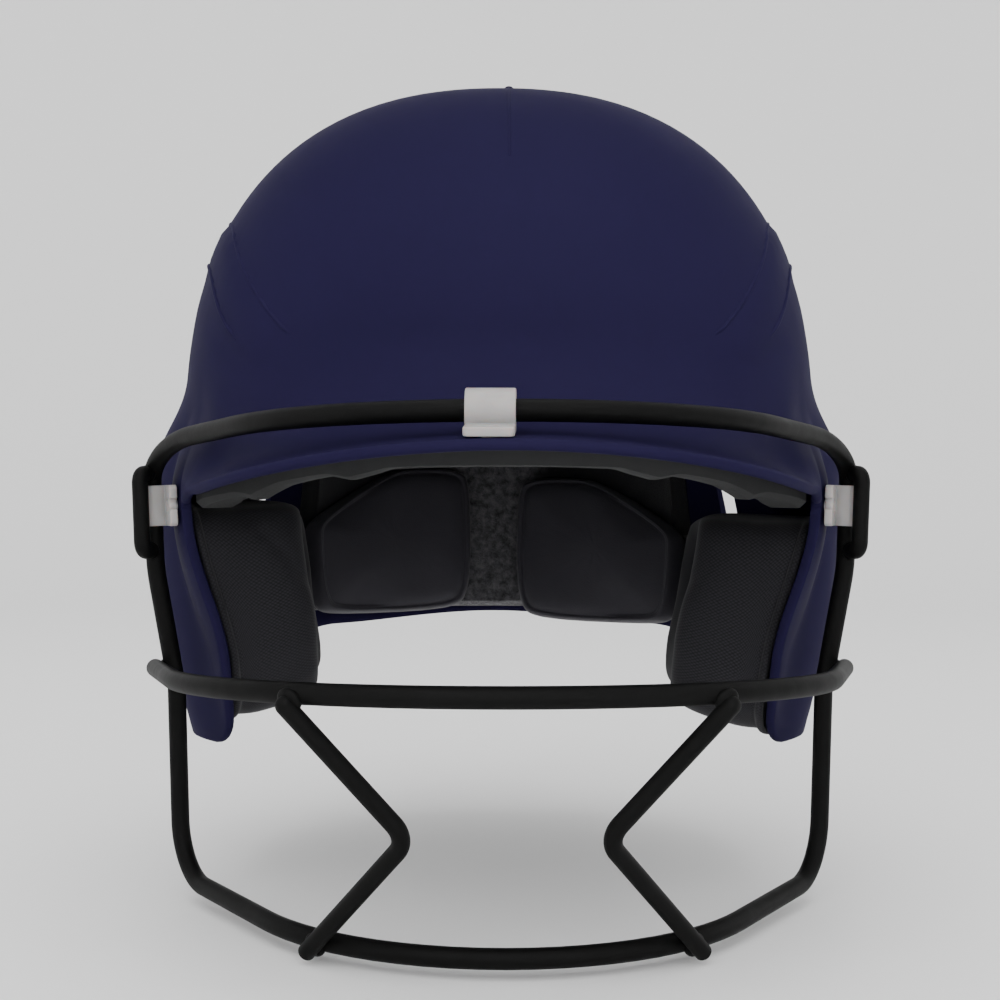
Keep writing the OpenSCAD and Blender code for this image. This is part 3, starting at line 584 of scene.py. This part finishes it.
def pill(u, wide, deep, r):
    """A place on a rounded rectangle's outline, by the share of its length."""
    arc = math.pi * r / 2
    runs = [wide - 2 * r, arc, deep - 2 * r, arc] * 2
    s = (u % 1) * sum(runs)
    x, y, heading = -wide / 2 + r, -deep / 2, 0
    for k, run in enumerate(runs):
        if s <= run:
            if k % 2 == 0:
                return x + s * cos(heading), y + s * sin(heading)
            turn = math.degrees(s / r)
            cx, cy = x - r * sin(heading), y + r * cos(heading)
            return cx + r * sin(heading + turn), cy - r * cos(heading + turn)
        s -= run
        if k % 2 == 0:
            x, y = x + run * cos(heading), y + run * sin(heading)
        else:
            cx, cy = x - r * sin(heading), y + r * cos(heading)
            heading += 90
            x, y = cx + r * sin(heading), cy - r * cos(heading)
    return x, y


def wrinkle(p, scale, height):
    return noise.noise(p * scale) * height


def capped(rings):
    """Rows of a skin: the rings, and the middle of each end ring as a pole."""
    first, last = (sum(ring[:-1], Vector()) / (len(ring) - 1) for ring in (rings[0], rings[-1]))
    return [[first] * len(rings[0])] + rings + [[last] * len(rings[0])]


def strip(a0, a1, top, low, base, t, steps=90, edge=1.5, around=56):
    """A strip of foam on the shell's inner face between two angles."""
    def place(a, u):
        hi, lo = top(a), low(a)
        p, q = pill(u, hi - lo, t, edge)
        z, deep = (hi + lo) / 2 - p, q / t + 0.5
        point = inside(a, z, base) * (1 - deep) + head_side(a, z, base + t) * deep
        return point - outward(a, z, bare) * wrinkle(point, 0.09, 0.5) * deep
    return skin(capped([[place(mix(a0, a1, k / steps), i / around) for i in range(around + 1)]
                        for k in range(steps + 1)]))


# The brow pad's half width and heights, and the depths of its scallops at angles from the front
brow_a, brow_top, brow_low = 54, 64, 11
scallops = [(17, 0), (19, 1), (23, 2.4), (26.5, 0.5), (36, 1), (38, 1.6), (42.5, 3), (46, 0.4), (52, 0)]


def brow_edge(a):
    """Height of the brow pad's lower edge, which keeps just below the bill's edge."""
    side = off_front(a)
    return brow_low - bill_droop * (side / temple_a) ** 2.6 - along(scallops, side)


brow_pad = show(strip(-brow_a, brow_a, lambda a: brow_top, brow_edge, liner_base, liner_t, 150),
                "brow_pad_foam", foam, ["brow_pad"])

# The side liners reach from the brow pad to the nape liner, which starts at nape_a. Their lower edges
# sag to their lowest at side_sag_a, and the left one hangs lower behind hang_a.
nape_a, side_front, side_top, side_low, bump_gap = 122, 55, 56, 8, 0.46
side_sag, side_sag_a, side_wave = 3, 86, 2.8
left_hang, hang_a, hang_run = 6.5, 90, 12


def side_edge(a):
    """Height of a side liner's lower edge; the left one hangs lower at its rear."""
    hang = left_hang * ramp((-a - hang_a) / hang_run) if a < 0 else 0
    return side_low - side_sag * cos((off_front(a) - side_sag_a) * side_wave) - hang


for side, name, rear in ((-1, "left", nape_a - 0.5), (1, "right", nape_a - 4)):
    bm = strip(side * side_front, side * rear, lambda a: side_top, side_edge, liner_base + bump_gap, liner_t)
    side_liner = show(bm, "side_liner_foam_" + name, foam, ["side_liner_" + name])

# The crown pad: a thick foam disc under the crown, with petal cuts on its head side so that it takes
# the dome's shape. It is glued to the shell.
crown_pad_t, crown_a, crown_cols = 9, 66, 160
petals, cut_w, cut_depth, cut_from, cut_run = 8, 2.2, 4, 0.45, 0.1


def crown_point(u, share, h):
    """A place on the crown pad, by its turn, the share of the way out and the height off the glued side."""
    a, petal = u * 360, 360 / petals
    z = widest_z + (crown_h - widest_z) * sin(90 - crown_a * share) ** (2 / dome_pow)
    cut = math.exp(-((a % petal - petal / 2) / cut_w) ** 2) * ramp((share - cut_from) / cut_run)
    return head_side(a, min(z, crown_h - 0.5), liner_base + h - (cut_depth * cut if h > cut_depth else 0))


# Rings from the middle of the glued side, round the rim, to the middle of the head side
crown_rings = [(s, 0) for s in (0.1, 0.3, 0.5, 0.7, 0.85, 0.97)] + [(1, 1.5), (1, 6), (0.97, 8)] \
    + [(s, crown_pad_t) for s in (0.9, 0.8, 0.65, 0.5, 0.4, 0.25, 0.1)]
crown_rows = capped([[crown_point(i / crown_cols, share, h) for i in range(crown_cols + 1)]
                     for share, h in crown_rings])
finer = [("SUBSURF", {"levels": 1, "render_levels": 1})]
crown_pad = show(skin(crown_rows), "crown_pad_foam", foam, ["crown_pad"], finer)

# The nape liner: foam with a face of loop fabric, which the two back pads grip with hooks. It is
# brushed rough in the strip between them.
loop_cloth, shader, where = finish_of("black_loop_fabric", (0.02, 0.02, 0.022), 0.95, Sheen_Weight=0.35,
                                      Sheen_Roughness=0.5, Specular_IOR_Level=0.2)
brushed_half_w, brushed_fade = 0.015, 0.009
tree = shader.id_data
sides = tree.nodes.new("ShaderNodeSeparateXYZ")
tree.links.new(where, sides.inputs["Vector"])
off_middle = tree.nodes.new("ShaderNodeMath")
off_middle.operation = "ABSOLUTE"
tree.links.new(sides.outputs["X"], off_middle.inputs[0])
brushed = tree.nodes.new("ShaderNodeMath")
brushed.operation = "MULTIPLY"
tree.links.new(stretched(speckle(where, 330, 4, 0.65), 0.3, 0.68), brushed.inputs[0])
tree.links.new(stretched(off_middle.outputs["Value"], brushed_half_w + brushed_fade, brushed_half_w),
               brushed.inputs[1])
tint(shader, brushed.outputs["Value"], (0.017, 0.0165, 0.019), (0.135, 0.132, 0.143))
emboss(shader, [(brushed.outputs["Value"], 0.8), (speckle(where, 1700, 4, 0.8), 0.5)], 0.001)
nape_top, wing_a, wing_gap, nape_gap = 48, (136, 142), 4, 1.6


def nape_edge(a):
    """Height of the nape liner's upper edge: its ends are low wings that pass below the vents."""
    wing = ramp((wing_a[1] - off_front(a)) / (wing_a[1] - wing_a[0]))
    return mix(nape_top, vent_z - vent_l / 2 - wing_gap, wing)


bm = strip(nape_a, 360 - nape_a, nape_edge, lambda a: nape_gap - nape_drop, liner_base, liner_t, 110)
nape_liner = show(bm, "nape_liner_fabric", loop_cloth, ["nape_liner"])


# The back pads: two thick foam pads wrapped in smooth black knit. A welded seam runs round each, a
# finger's width inside its edge, and the outer upper corner of each is cut away.
def smooth_outline(corners, rounds):
    """A closed outline through corners, each cut back again and again until it is round."""
    points = [Vector(c) for c in corners]
    for share in rounds:
        cut = []
        for p, q in zip(points, points[1:] + points[:1]):
            cut += [p.lerp(q, share), p.lerp(q, 1 - share)]
        points = cut
    lengths = [0]
    for p, q in zip(points, points[1:] + points[:1]):
        lengths.append(lengths[-1] + (q - p).length)

    def place(u):
        s = (u % 1) * lengths[-1]
        for k in range(len(points)):
            if s <= lengths[k + 1]:
                share = (s - lengths[k]) / (lengths[k + 1] - lengths[k])
                return points[k].lerp(points[(k + 1) % len(points)], share)
        return points[0]
    return place


pad_knit, shader, where = finish_of("smooth_black_knit", (0.0135, 0.0135, 0.017), 0.72, Sheen_Weight=0.12,
                                    Sheen_Roughness=0.4, Specular_IOR_Level=0.3)
tint(shader, speckle(where, 30, 4), (0.0235, 0.022, 0.0285), (0.042, 0.0395, 0.049))
spread(speckle(where, 45, 4), 0.6, 0.82, shader.inputs["Roughness"])
stitches = [(speckle(where, 2400, 2), 0.25), (speckle(where, 70, 3, 0.6), 0.22)]
emboss(shader, stitches, 0.0008)


def below_wall(p):
    """How deep a place lies below the shell's outer face."""
    a = math.degrees(math.atan2(p.x, -p.y))
    return dome_r(a, p.z) + swell(a, p.z) - math.hypot(p.x, p.y)


def plump(bm, held, cap, pressure=3, voxel=0.0045):
    """Swells a padded skin as cloth under pressure, by a cap at most, but for the part that is held."""
    cover = placed("cover", bm.copy())
    remesh = cover.modifiers.new("Remesh", "REMESH")
    remesh.mode, remesh.voxel_size = "VOXEL", voxel
    settle(cover)
    rest = [v.co.copy() for v in cover.data.vertices]
    group = cover.vertex_groups.new(name="held")
    group.add([i for i, p in enumerate(rest) if held(p / MM)], 1, "REPLACE")
    cloth = cover.modifiers.new("Cloth", "CLOTH").settings
    cloth.quality, cloth.mass, cloth.vertex_group_mass = 6, 0.25, "held"
    cloth.use_pressure, cloth.uniform_pressure_force = True, pressure
    cloth.effector_weights.gravity = 0
    for n in range(1, 21):
        bpy.context.scene.frame_set(n)
    swollen = cover.evaluated_get(bpy.context.evaluated_depsgraph_get()).data
    shifts = [v.co - p for v, p in zip(swollen.vertices, rest)]
    tree = KDTree(len(rest))
    for i, p in enumerate(rest):
        tree.insert(p, i)
    tree.balance()
    for v in bm.verts:
        near = [(i, 1 / (d + 1e-5) ** 2) for _, i, d in tree.find_n(v.co, 5)]
        shift = sum((shifts[i] * w for i, w in near), Vector()) / sum(w for _, w in near)
        v.co += shift * min(1, cap * MM / max(shift.length, 1e-9))
    bpy.context.scene.frame_set(1)
    bpy.data.objects.remove(cover)


back_gap, back_t, back_cols, back_a, back_z = 0.68, 14, 112, 153.8, -18.3
back_base = liner_base + liner_t + back_gap
corner_cuts = (0.12, 0.25, 0.25)
back_corners = [(175, -49.8), (175, 13.4), (157.5, 13.4), (134.6, -8.4), (131.6, -12.5), (131.6, -49.8)]
# Rings from the middle of the head side, through the seam and round the rim, to the back, each as
# (share of the way out to the outline, share of the thickness)
back_profile = [(0.12, 0.96), (0.3, 0.96), (0.5, 0.95), (0.66, 0.93), (0.78, 0.89), (0.86, 0.82),
                (0.905, 0.74), (0.925, 0.655), (0.937, 0.62), (0.95, 0.655), (0.97, 0.66), (0.988, 0.58),
                (1, 0.4), (0.997, 0.15), (0.965, 0), (0.8, 0), (0.5, 0), (0.15, 0)]
seam_h, seam_half, back_swell, back_wrinkle = 0.66, 0.04, 2.5, 0.8
# The head side sinks by crease_depth towards its outline, and only ahead of crease_a
crease_depth, crease_from, crease_share, crease_a, crease_run = 2.4, 0.5, 0.25, 157, 14


def back_point(q, share, h):
    """A place on a back pad, by its angle and height, the share of the way out and of the thickness."""
    p = head_side(q.x, q.y, back_base + back_t * h)
    if h < seam_h + seam_half:
        return p
    sunk = crease_depth * ramp((share - crease_from) / crease_share) * ramp((crease_a - q.x) / crease_run)
    return p + outward(q.x, q.y, bare) * (sunk + wrinkle(p, 0.06, back_wrinkle))


for side, name, shift in ((-1, "left", 1.9), (1, "right", -2.3)):
    outline = smooth_outline([(a, z + shift) for a, z in back_corners], corner_cuts)
    centre = Vector((back_a, back_z + shift))
    across = Vector((side, 1, 1))
    bm = skin(capped([[back_point(centre.lerp(outline(i / back_cols), share), share, h) * across
                       for i in range(back_cols + 1)] for share, h in back_profile]))
    plump(bm, lambda p: below_wall(p) < back_base + back_t * seam_h, back_swell, voxel=0.004)
    pad = show(bm, "back_pad_cover_" + name, pad_knit, ["back_pad_" + name], finer, 60)

# The ear pads: deep foam blocks in an open mesh knit, held to the flaps by hook and loop. A piped edge
# runs round the side that lies on the shell, and a round well through each leaves room for the ear.
mesh_knit, shader, where = finish_of("black_mesh_knit", (0.014, 0.014, 0.0165), 0.8, Sheen_Weight=0.1,
                                     Sheen_Roughness=0.45, Specular_IOR_Level=0.15)
tree = shader.id_data
dots = place_of(tree, (1, 0.8, 1), uv=True)
dots.node.inputs["Rotation"].default_value = (0, 0, math.radians(45))
cells = tree.nodes.new("ShaderNodeTexVoronoi")
cells.voronoi_dimensions = "2D"
cells.inputs["Scale"].default_value = 1080
cells.inputs["Randomness"].default_value = 0.15
tree.links.new(dots, cells.inputs["Vector"])
holes = stretched(cells.outputs["Distance"], 0.1, 0.62)
tint(shader, holes, (0.0265, 0.0255, 0.0305), (0.007, 0.007, 0.008))
emboss(shader, [(holes, -0.6), (speckle(where, 60, 3), 0.3)], 0.0007)
patch_gap, patch_t, ear_gap = 0.64, 2, 0.8
ear_base = liner_base + patch_gap + patch_t + ear_gap
ear_t, ear_front, ear_rear, ear_fade, ear_cols = 31, 56.5, nape_a - 2, 0.26, 128
ear_top, ear_low, ear_wrinkle, ear_held, ear_swell = -2, -77, 1.4, 5.5, 3
well_r, ear_wall_x, well_start = 19, 118, 225
# The front of each is folded in along a slanting line, which is at fold_z at a share fold_h of the
# thickness, and the foot of the right one is fuller below full_z
fold_z, fold_h, fold_slant, fold_w, fold_a, fold_run = -17, 0.6, 40, 2.6, 74, 8
full_z, full_run = -18, 45
ear_outline = smooth_outline([(65.5, ear_low), (60.2, -68), (57, -55), (ear_front, -40),
                              (ear_front, ear_top), (ear_rear, ear_top), (ear_rear, ear_low)], corner_cuts)
# Rings as (share of the way from the well to the outline, height): the piping, up the side, over the
# head side and down the well, and back over the shell. By the shell (True) a height is in millimetres,
# and elsewhere it is a share of the thickness.
ear_rings = [(True, [(0.965, -0.4), (0.972, -1.6), (0.985, -2.5), (1, -2.75), (1.012, -2.3), (1.018, -1.4),
                     (1.013, -0.5), (1, 0.1), (0.99, 0.35), (0.988, 1), (0.993, 2.2)]),
             (False, [(0.995, 0.16), (0.997, 0.3), (0.997, 0.44), (0.992, 0.58), (0.982, 0.69),
                      (0.966, 0.78), (0.94, 0.86), (0.9, 0.925), (0.84, 0.97), (0.74, 0.995), (0.55, 1),
                      (0.3, 0.98), (0.12, 0.92), (0.03, 0.84), (0, 0.72), (0, 0.4), (0, 0.12)]),
             (True, [(0.03, 0.3), (0.2, 0), (0.5, 0), (0.8, 0), (0.95, 0)])]
ear_profile = [(share, h, on_shell) for on_shell, rings in ear_rings for share, h in rings]


def well_rim(u, depth):
    """A place on the well's rim, at a depth below the shell's outer face."""
    turn = well_start - u * 360
    a = 90 + math.degrees(math.atan2(ear_y + well_r * cos(turn), ear_wall_x - depth))
    return Vector((a, ear_z + well_r * sin(turn)))


def ear_point(u, share, h, on_shell, fold, up, full):
    """A place on an ear pad, which may be folded in at its front, moved up, or fuller at its foot."""
    depth = ear_base + (h if on_shell else ear_t * h)
    rim_place = ear_outline(u) + Vector((0, up))
    q = well_rim(u, depth).lerp(rim_place, share)
    if on_shell:
        return inside(q.x, q.y, depth)
    off_fold = q.y - fold_z + fold_slant * (h - fold_h)
    pinch = fold * math.exp(-(off_fold / fold_w) ** 2) * ramp((fold_a - q.x) / fold_run)
    q = well_rim(u, depth).lerp(rim_place, share - pinch)
    thin = 1 - ear_fade * ramp((q.x - ear_front) / (ear_rear - ear_front))
    thin *= 1 + full * ramp((full_z - q.y) / full_run)
    p = head_side(q.x, q.y, ear_base + ear_t * h * thin)
    return p + outward(q.x, q.y, bare) * wrinkle(p, 0.045, ear_wrinkle)


for side, name, fold, up, full in ((-1, "left", 0.03, 2.5, 0), (1, "right", 0.016, -2.5, 0.08)):
    across = Vector((side, 1, 1))
    bm = skin([[ear_point(i / ear_cols, share, h, on_shell, fold, up, full) * across
                for i in range(ear_cols + 1)] for share, h, on_shell in ear_profile + ear_profile[:1]])
    plump(bm, lambda p: below_wall(p) < ear_base + ear_held, ear_swell)
    pad = show(bm, "ear_pad_cover_" + name, mesh_knit, ["ear_pad_" + name], finer, 60)

# The hook and loop patches behind the ear pads are shown as their solids
coat(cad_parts["pad_patches"], loop_cloth)

# The cage: steel wire, bent, butt-welded into one loop and dipped in black vinyl. The middle bar, the
# cheek bars and the temple loops are welded on, and the dip rounds every weld and wire end.
thin_d, weld_set, cage_grid = 5.2, 0.4, 4
vinyl, shader, where = finish_of("black_vinyl_dip", (0.0039, 0.0039, 0.0038), 0.55, Specular_IOR_Level=0.07)
spread(speckle(where, 130, 4, 0.6), 0.45, 0.62, shader.inputs["Roughness"])
emboss(shader, [(speckle(where, 260, 3), 0.12), (speckle(where, 1600, 2), 0.06)], 0.0004)


def bend(points, k, backs, steps):
    """A corner rounded from one setback before it to another after it."""
    before, after = (points[k] - points[k - 1]).normalized(), (points[k + 1] - points[k]).normalized()
    w = math.cos(before.angle(after) / 2)
    start, end = points[k] - before * backs[0], points[k] + after * backs[1]
    out = []
    for i in range(steps + 1):
        t = i / steps
        s = 1 - t
        weight = s * s + 2 * w * s * t + t * t
        out.append((start * s * s + points[k] * 2 * w * s * t + end * t * t) / weight)
    return out


def arc_back(points, k, r):
    """The two setbacks of a corner that is rounded in a circle's arc."""
    turn = (points[k] - points[k - 1]).angle(points[k + 1] - points[k])
    return [r * math.tan(turn / 2)] * 2


def wire_path(points, backs, steps):
    """The wire's axis, with places no further apart than cage_grid."""
    rough = [points[0]]
    for k in range(1, len(points) - 1):
        rough += bend(points, k, backs[k - 1], steps)
    rough.append(points[-1])
    path = [rough[0]]
    for p, q in zip(rough, rough[1:]):
        n = math.ceil((q - p).length / cage_grid)
        path += [p.lerp(q, i / n) for i in range(1, n + 1) if (q - p).length > 1e-6]
    return path


def flip(p):
    return Vector((-p.x, p.y, p.z))


bar_reach, bar_drop, bar_bow_r = 182, 48.7, 102
chin_reach, chin_drop, chin_bow_r, jaw_w = 143, 125, 83, 212
temple_bend_l, temple_bend_h, elbow_bend_r, jaw_bend_r = 40, 12, 60, 18
# Rise for each millimetre forward of the hoop's plane and the middle bar's, and fall of the chin bar's
tilt, chin_tilt = 0.042, 0.02


def hoop_z(y):
    return brow.z - (y - brow.y) * tilt


def chin_z(y):
    return -chin_drop + (y + chin_reach) * chin_tilt


def bar_z(y):
    return -bar_drop - (y + bar_reach) * tilt


def leg_at(z):
    return leg + leg_way * (z - leg.z) / leg_way.z


def bow_turn(end, tip, r):
    """Angle through which each half bends of a bar that bows forward to y = tip in a radius r."""
    dy = end.y - tip - r
    return math.degrees(math.atan2(end.x, -dy) - math.acos(r / math.hypot(end.x, dy)))


def bow_apex(end, tip, r):
    """The y where the two straight runs of such a bar would meet."""
    return tip + r - r / cos(bow_turn(end, tip, r))


# Each leg runs from the temple down past its elbow to the knee, and on to the jaw. Below each temple
# bend a loop of thinner wire is welded to it.
loop_reach, loop_h, loop_z, loop_bend_r = 10, 25, -2.4, 3.2
knee_back, knee_out, knee_below, jaw_back, elbow_below = 5, 0.8, 11, 5, 8
knee = Vector((jaw_w / 2 + knee_out, leg.y + knee_back, -bar_drop - knee_below))
jaw = Vector((jaw_w / 2, knee.y + jaw_back, chin_z(knee.y + jaw_back)))
elbow = leg_at(-loop_h / 2 - elbow_below)
hoop_top = leg_at(hoop_z(leg.y))
apex_y = bow_apex(hoop_top, brow.y, brow_bow_r)
hoop_middle = Vector((0, apex_y, hoop_z(apex_y)))
hoop_points = [knee, elbow, hoop_top, hoop_middle, flip(hoop_top), flip(elbow), flip(knee)]
elbow_back = arc_back(hoop_points, 1, elbow_bend_r)
hoop_backs = [elbow_back, [temple_bend_h, temple_bend_l], arc_back(hoop_points, 3, brow_bow_r),
              [temple_bend_l, temple_bend_h], elbow_back]
apex_y = bow_apex(jaw, -chin_reach, chin_bow_r)
chin_points = [knee, jaw, Vector((0, apex_y, chin_z(apex_y))), flip(jaw), flip(knee)]
chin_backs = [arc_back(chin_points, k, r) for k, r in ((1, jaw_bend_r), (2, chin_bow_r), (3, jaw_bend_r))]

# The middle bar crosses outside the legs and ends just behind them
bar_end_l = 8
crossing = elbow.lerp(knee, (elbow.z - bar_z(leg.y)) / (elbow.z - knee.z))
bar_meet = crossing + Vector((wire_d - weld_set, 0, 0))
turn = bow_turn(bar_meet, -bar_reach, bar_bow_r)
bar_end = bar_meet + Vector((cos(turn), sin(turn), -tilt)) * bar_end_l
apex_y = bow_apex(bar_meet, -bar_reach, bar_bow_r)
bar_points = [bar_end, Vector((0, apex_y, bar_z(apex_y))), flip(bar_end)]


def bow_point(a, reach, r, z):
    """A place on a bow's arc, at an angle from its tip."""
    return Vector((r * sin(a), r - reach - r * cos(a), z))


def weld_at(place, way, toward):
    """A place on a cheek bar's axis, outside a place on the axis of the bar it is welded to."""
    n = way.cross(toward - place).normalized()
    if n.dot(Vector((place.x, place.y + dome_front / 2, 0))) < 0:
        n = -n
    return place + n * ((wire_d + thin_d) / 2 - weld_set)


# Each cheek bar starts at cheek_a along the middle bar's curve and ends at chin_a along the chin bar's.
# Its welds lie some way behind those bars' tips, and both its ends stand a little past them.
cheek_gap, cheek_back, cheek_below, cheek_a, chin_a, cheek_bend_r = 53, 25, 2.6, 33, 39, 8
bar_weld_back, chin_weld_back, top_stub, foot_stub = 16, 18, 2.5, 3
corner = Vector((cheek_gap / 2, -bar_reach + cheek_back, -(bar_drop + chin_drop) / 2 - cheek_below))
cheek_on_bar = bow_point(cheek_a, bar_reach, bar_bow_r, bar_z(-bar_reach + bar_weld_back))
cheek_on_chin = bow_point(chin_a, chin_reach, chin_bow_r, chin_z(-chin_reach + chin_weld_back))
cheek_top = weld_at(cheek_on_bar, Vector((cos(cheek_a), sin(cheek_a), 0)), corner)
cheek_foot = weld_at(cheek_on_chin, Vector((cos(chin_a), sin(chin_a), 0)), corner)
cheek_points = [cheek_top + (cheek_top - corner).normalized() * top_stub, corner,
                cheek_foot + (cheek_foot - corner).normalized() * foot_stub]
loop_way, foot_gap = Vector((0.22, -0.975, 0)).normalized(), 0.6
temple_path = [elbow] + bend(hoop_points, 2, hoop_backs[1], 16)


def off_path(p):
    """Distance of a place from the hoop's axis at the temple."""
    best = 1e9
    for a, b in zip(temple_path, temple_path[1:]):
        t = min(1, max(0, (p - a).dot(b - a) / (b - a).length_squared))
        best = min(best, (p - a - (b - a) * t).length)
    return best


def foot_at(corner_place):
    """Where a temple loop's foot ends: as far back as its weld lets it be."""
    back = loop_reach - wire_d / 2
    while off_path(corner_place - loop_way * back) <= wire_d / 2 - weld_set + foot_gap:
        back -= 0.1
    return corner_place - loop_way * back


loop_upper = leg_at(loop_z + loop_h / 2) + loop_way * loop_reach
loop_lower = leg_at(loop_z - loop_h / 2) + loop_way * loop_reach
loop_points = [foot_at(loop_upper), loop_upper, loop_lower, foot_at(loop_lower)]
loop_backs = [arc_back(loop_points, k, loop_bend_r) for k in (1, 2)]


def cage_piece(name, points, backs, d, rounded, nodes, mirrored=False, steps=16):
    """One bent wire of the cage."""
    bm = bmesh.new()
    path = wire_path(points, backs, steps)
    wire_mesh(bm, [flip(p) for p in path] if mirrored else path, d, rounded)
    show(bm, name, vinyl, nodes, (), 50)


cage_piece("brow_hoop_wire", hoop_points, hoop_backs, wire_d, (0, 0), ["brow_hoop"], steps=24)
cage_piece("chin_bar_wire", chin_points, chin_backs, wire_d, (0, 0), ["chin_bar"], steps=24)
cage_piece("middle_bar_wire", bar_points, [arc_back(bar_points, 1, bar_bow_r)], wire_d, (1, 1),
           ["middle_bar"], steps=32)
for mirrored, name in ((True, "left"), (False, "right")):
    cage_piece("cheek_bar_wire_" + name, cheek_points, [arc_back(cheek_points, 1, cheek_bend_r)], thin_d,
               (1, 0.4), ["cheek_bar_" + name], mirrored)
    cage_piece("temple_loop_wire_" + name, loop_points, loop_backs, thin_d, (0, 0),
               ["temple_loop_" + name], mirrored)

# Weld beads under the dip: a smooth swelling in each corner between two wires, as its place, the way
# from one wire to the other, its radius across that way and half its length along it
bead_places = [(cheek_on_bar.lerp(cheek_top, 0.55), cheek_top - cheek_on_bar, 3.6, 2.2),
               (cheek_on_chin.lerp(cheek_foot, 0.55), cheek_foot - cheek_on_chin, 3.6, 2.2),
               (crossing.lerp(bar_meet, 0.5), bar_meet - crossing, 3.4, 2.2),
               (loop_points[0], loop_way, 2.9, 2), (loop_points[3], loop_way, 2.9, 2)]
bm = bmesh.new()
for middle, way, r, half in bead_places:
    for mirror in (Vector((1, 1, 1)), other_side):
        turn = (way * mirror).to_track_quat("Z", "Y").to_matrix().to_4x4()
        size = Matrix.Diagonal((r * MM, r * MM, half * MM, 1))
        bmesh.ops.create_icosphere(bm, subdivisions=3, radius=1,
                                   matrix=Matrix.Translation(middle * mirror * MM) @ turn @ size)
show(bm, "weld_beads", vinyl)

# The clips: milky nylon P-clips, one round the hoop on the bill and one round it at each temple. Each is
# held by one countersunk screw, driven from inside the shell.
nylon, shader, where = finish_of("milky_nylon", (0.41, 0.395, 0.385), 0.38, Subsurface_Weight=0.35,
                                 Subsurface_Scale=0.004)
tint(shader, speckle(where, 140, 3), (0.3, 0.287, 0.282), (0.41, 0.397, 0.392))
spread(speckle(where, 300, 3), 0.3, 0.5, shader.inputs["Roughness"])
emboss(shader, [(speckle(where, 500, 2), 0.1)], 0.0003)
edge_r = 0.45


def refined(node, name, finish):
    """A merged copy of a moulded CAD piece with its sharp edges rounded."""
    bm = bmesh.new()
    bm.from_mesh(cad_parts[node].data)
    bmesh.ops.remove_doubles(bm, verts=bm.verts, dist=2e-6)
    bmesh.ops.dissolve_limit(bm, angle_limit=math.radians(2), verts=bm.verts, edges=bm.edges)
    sharp = [e for e in bm.edges if len(e.link_faces) == 2 and e.calc_face_angle() > math.radians(40)]
    bmesh.ops.bevel(bm, geom=sharp, offset=edge_r * MM, segments=3, profile=0.5, affect="EDGES", material=-1)
    show(bm, name, finish, [node], (), 40)


for node in ("bill_clip", "temple_clip_left", "temple_clip_right"):
    refined(node, node + "_moulding", nylon)

# The three screws are shown as their solids, in zinc-plated steel
steel, shader, where = finish_of("zinc_plated_steel", (0.5, 0.5, 0.52), 0.34, Metallic=1.0)
spread(speckle(where, 900, 3), 0.26, 0.45, shader.inputs["Roughness"])
emboss(shader, [(speckle(where, 2200, 2), 0.15)], 0.0002)
coat(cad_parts["clip_screws"], steel)

# The studio: a pale floor that turns up into a backdrop, soft light from all round, and the camera
# level with the ears, 0.6 m ahead of them.
floor_z, floor_r, cove_r, wall_h = solid_box[0][2] - 0.0005, 1.6, 0.9, 3
studio, shader, where = finish_of("pale_studio_paper", (0.96, 0.96, 0.96), 0.9)
spread(speckle(where, 40, 3), 0.85, 0.95, shader.inputs["Roughness"])
bm = bmesh.new()
sweep = [(0, 0), (floor_r, 0)]
sweep += [(floor_r + cove_r * sin(t), cove_r * (1 - cos(t))) for t in range(10, 91, 10)]
sweep.append((floor_r + cove_r, wall_h))
line = [bm.verts.new((x, 0, z + floor_z)) for x, z in sweep]
edges = [bm.edges.new(pair) for pair in zip(line, line[1:])]
bmesh.ops.spin(bm, geom=line + edges, cent=(0, 0, 0), axis=(0, 0, 1), angle=math.radians(360), steps=96,
               use_merge=True)
bmesh.ops.remove_doubles(bm, verts=bm.verts, dist=1e-5)
bmesh.ops.recalc_face_normals(bm, faces=bm.faces)
bmesh.ops.reverse_faces(bm, faces=bm.faces)
floor = placed("studio_floor", bm)
floor.data.shade_smooth()
coat(floor, studio)

world = bpy.data.worlds.new("studio")
bpy.context.scene.world = world
world.use_nodes = True
world.node_tree.nodes["Background"].inputs["Color"].default_value = (1, 1, 1, 1)
world.node_tree.nodes["Background"].inputs["Strength"].default_value = 0.8


def softbox(name, place, aim, size, power):
    light = bpy.data.lights.new(name, "AREA")
    light.shape = "RECTANGLE"
    light.size, light.size_y = size
    light.energy = power
    obj = placed(name, light)
    obj.location = place
    obj.rotation_euler = (Vector(aim) - Vector(place)).to_track_quat("-Z", "Y").to_euler()


softbox("key_softbox", (-0.5, -1.7, 1.2), (0, 0, 0), (1.6, 1.6), 17)
softbox("fill_softbox", (0.7, -1.7, 0.7), (0, 0, 0), (1.6, 1.6), 10)
softbox("top_softbox", (0, -0.4, 2.0), (0, 0, 0), (2.0, 2.0), 20)

# The camera's focal length and the middle of its view, in pixels of a photograph 1000 pixels wide
photo_w, focal, middle_px, middle_py = 1000, 1660, 471.4, 505
view_camera = bpy.data.cameras.new("photo_camera")
view_camera.sensor_width = 36
view_camera.lens = focal / photo_w * view_camera.sensor_width
view_camera.shift_x = (photo_w / 2 - middle_px) / photo_w
view_camera.shift_y = (middle_py - photo_w / 2) / photo_w
camera = placed("photo_camera", view_camera)
camera.location = (-0.0095, -0.6, 0)
camera.rotation_euler = (math.radians(90), 0, 0)
bpy.context.scene.camera = camera
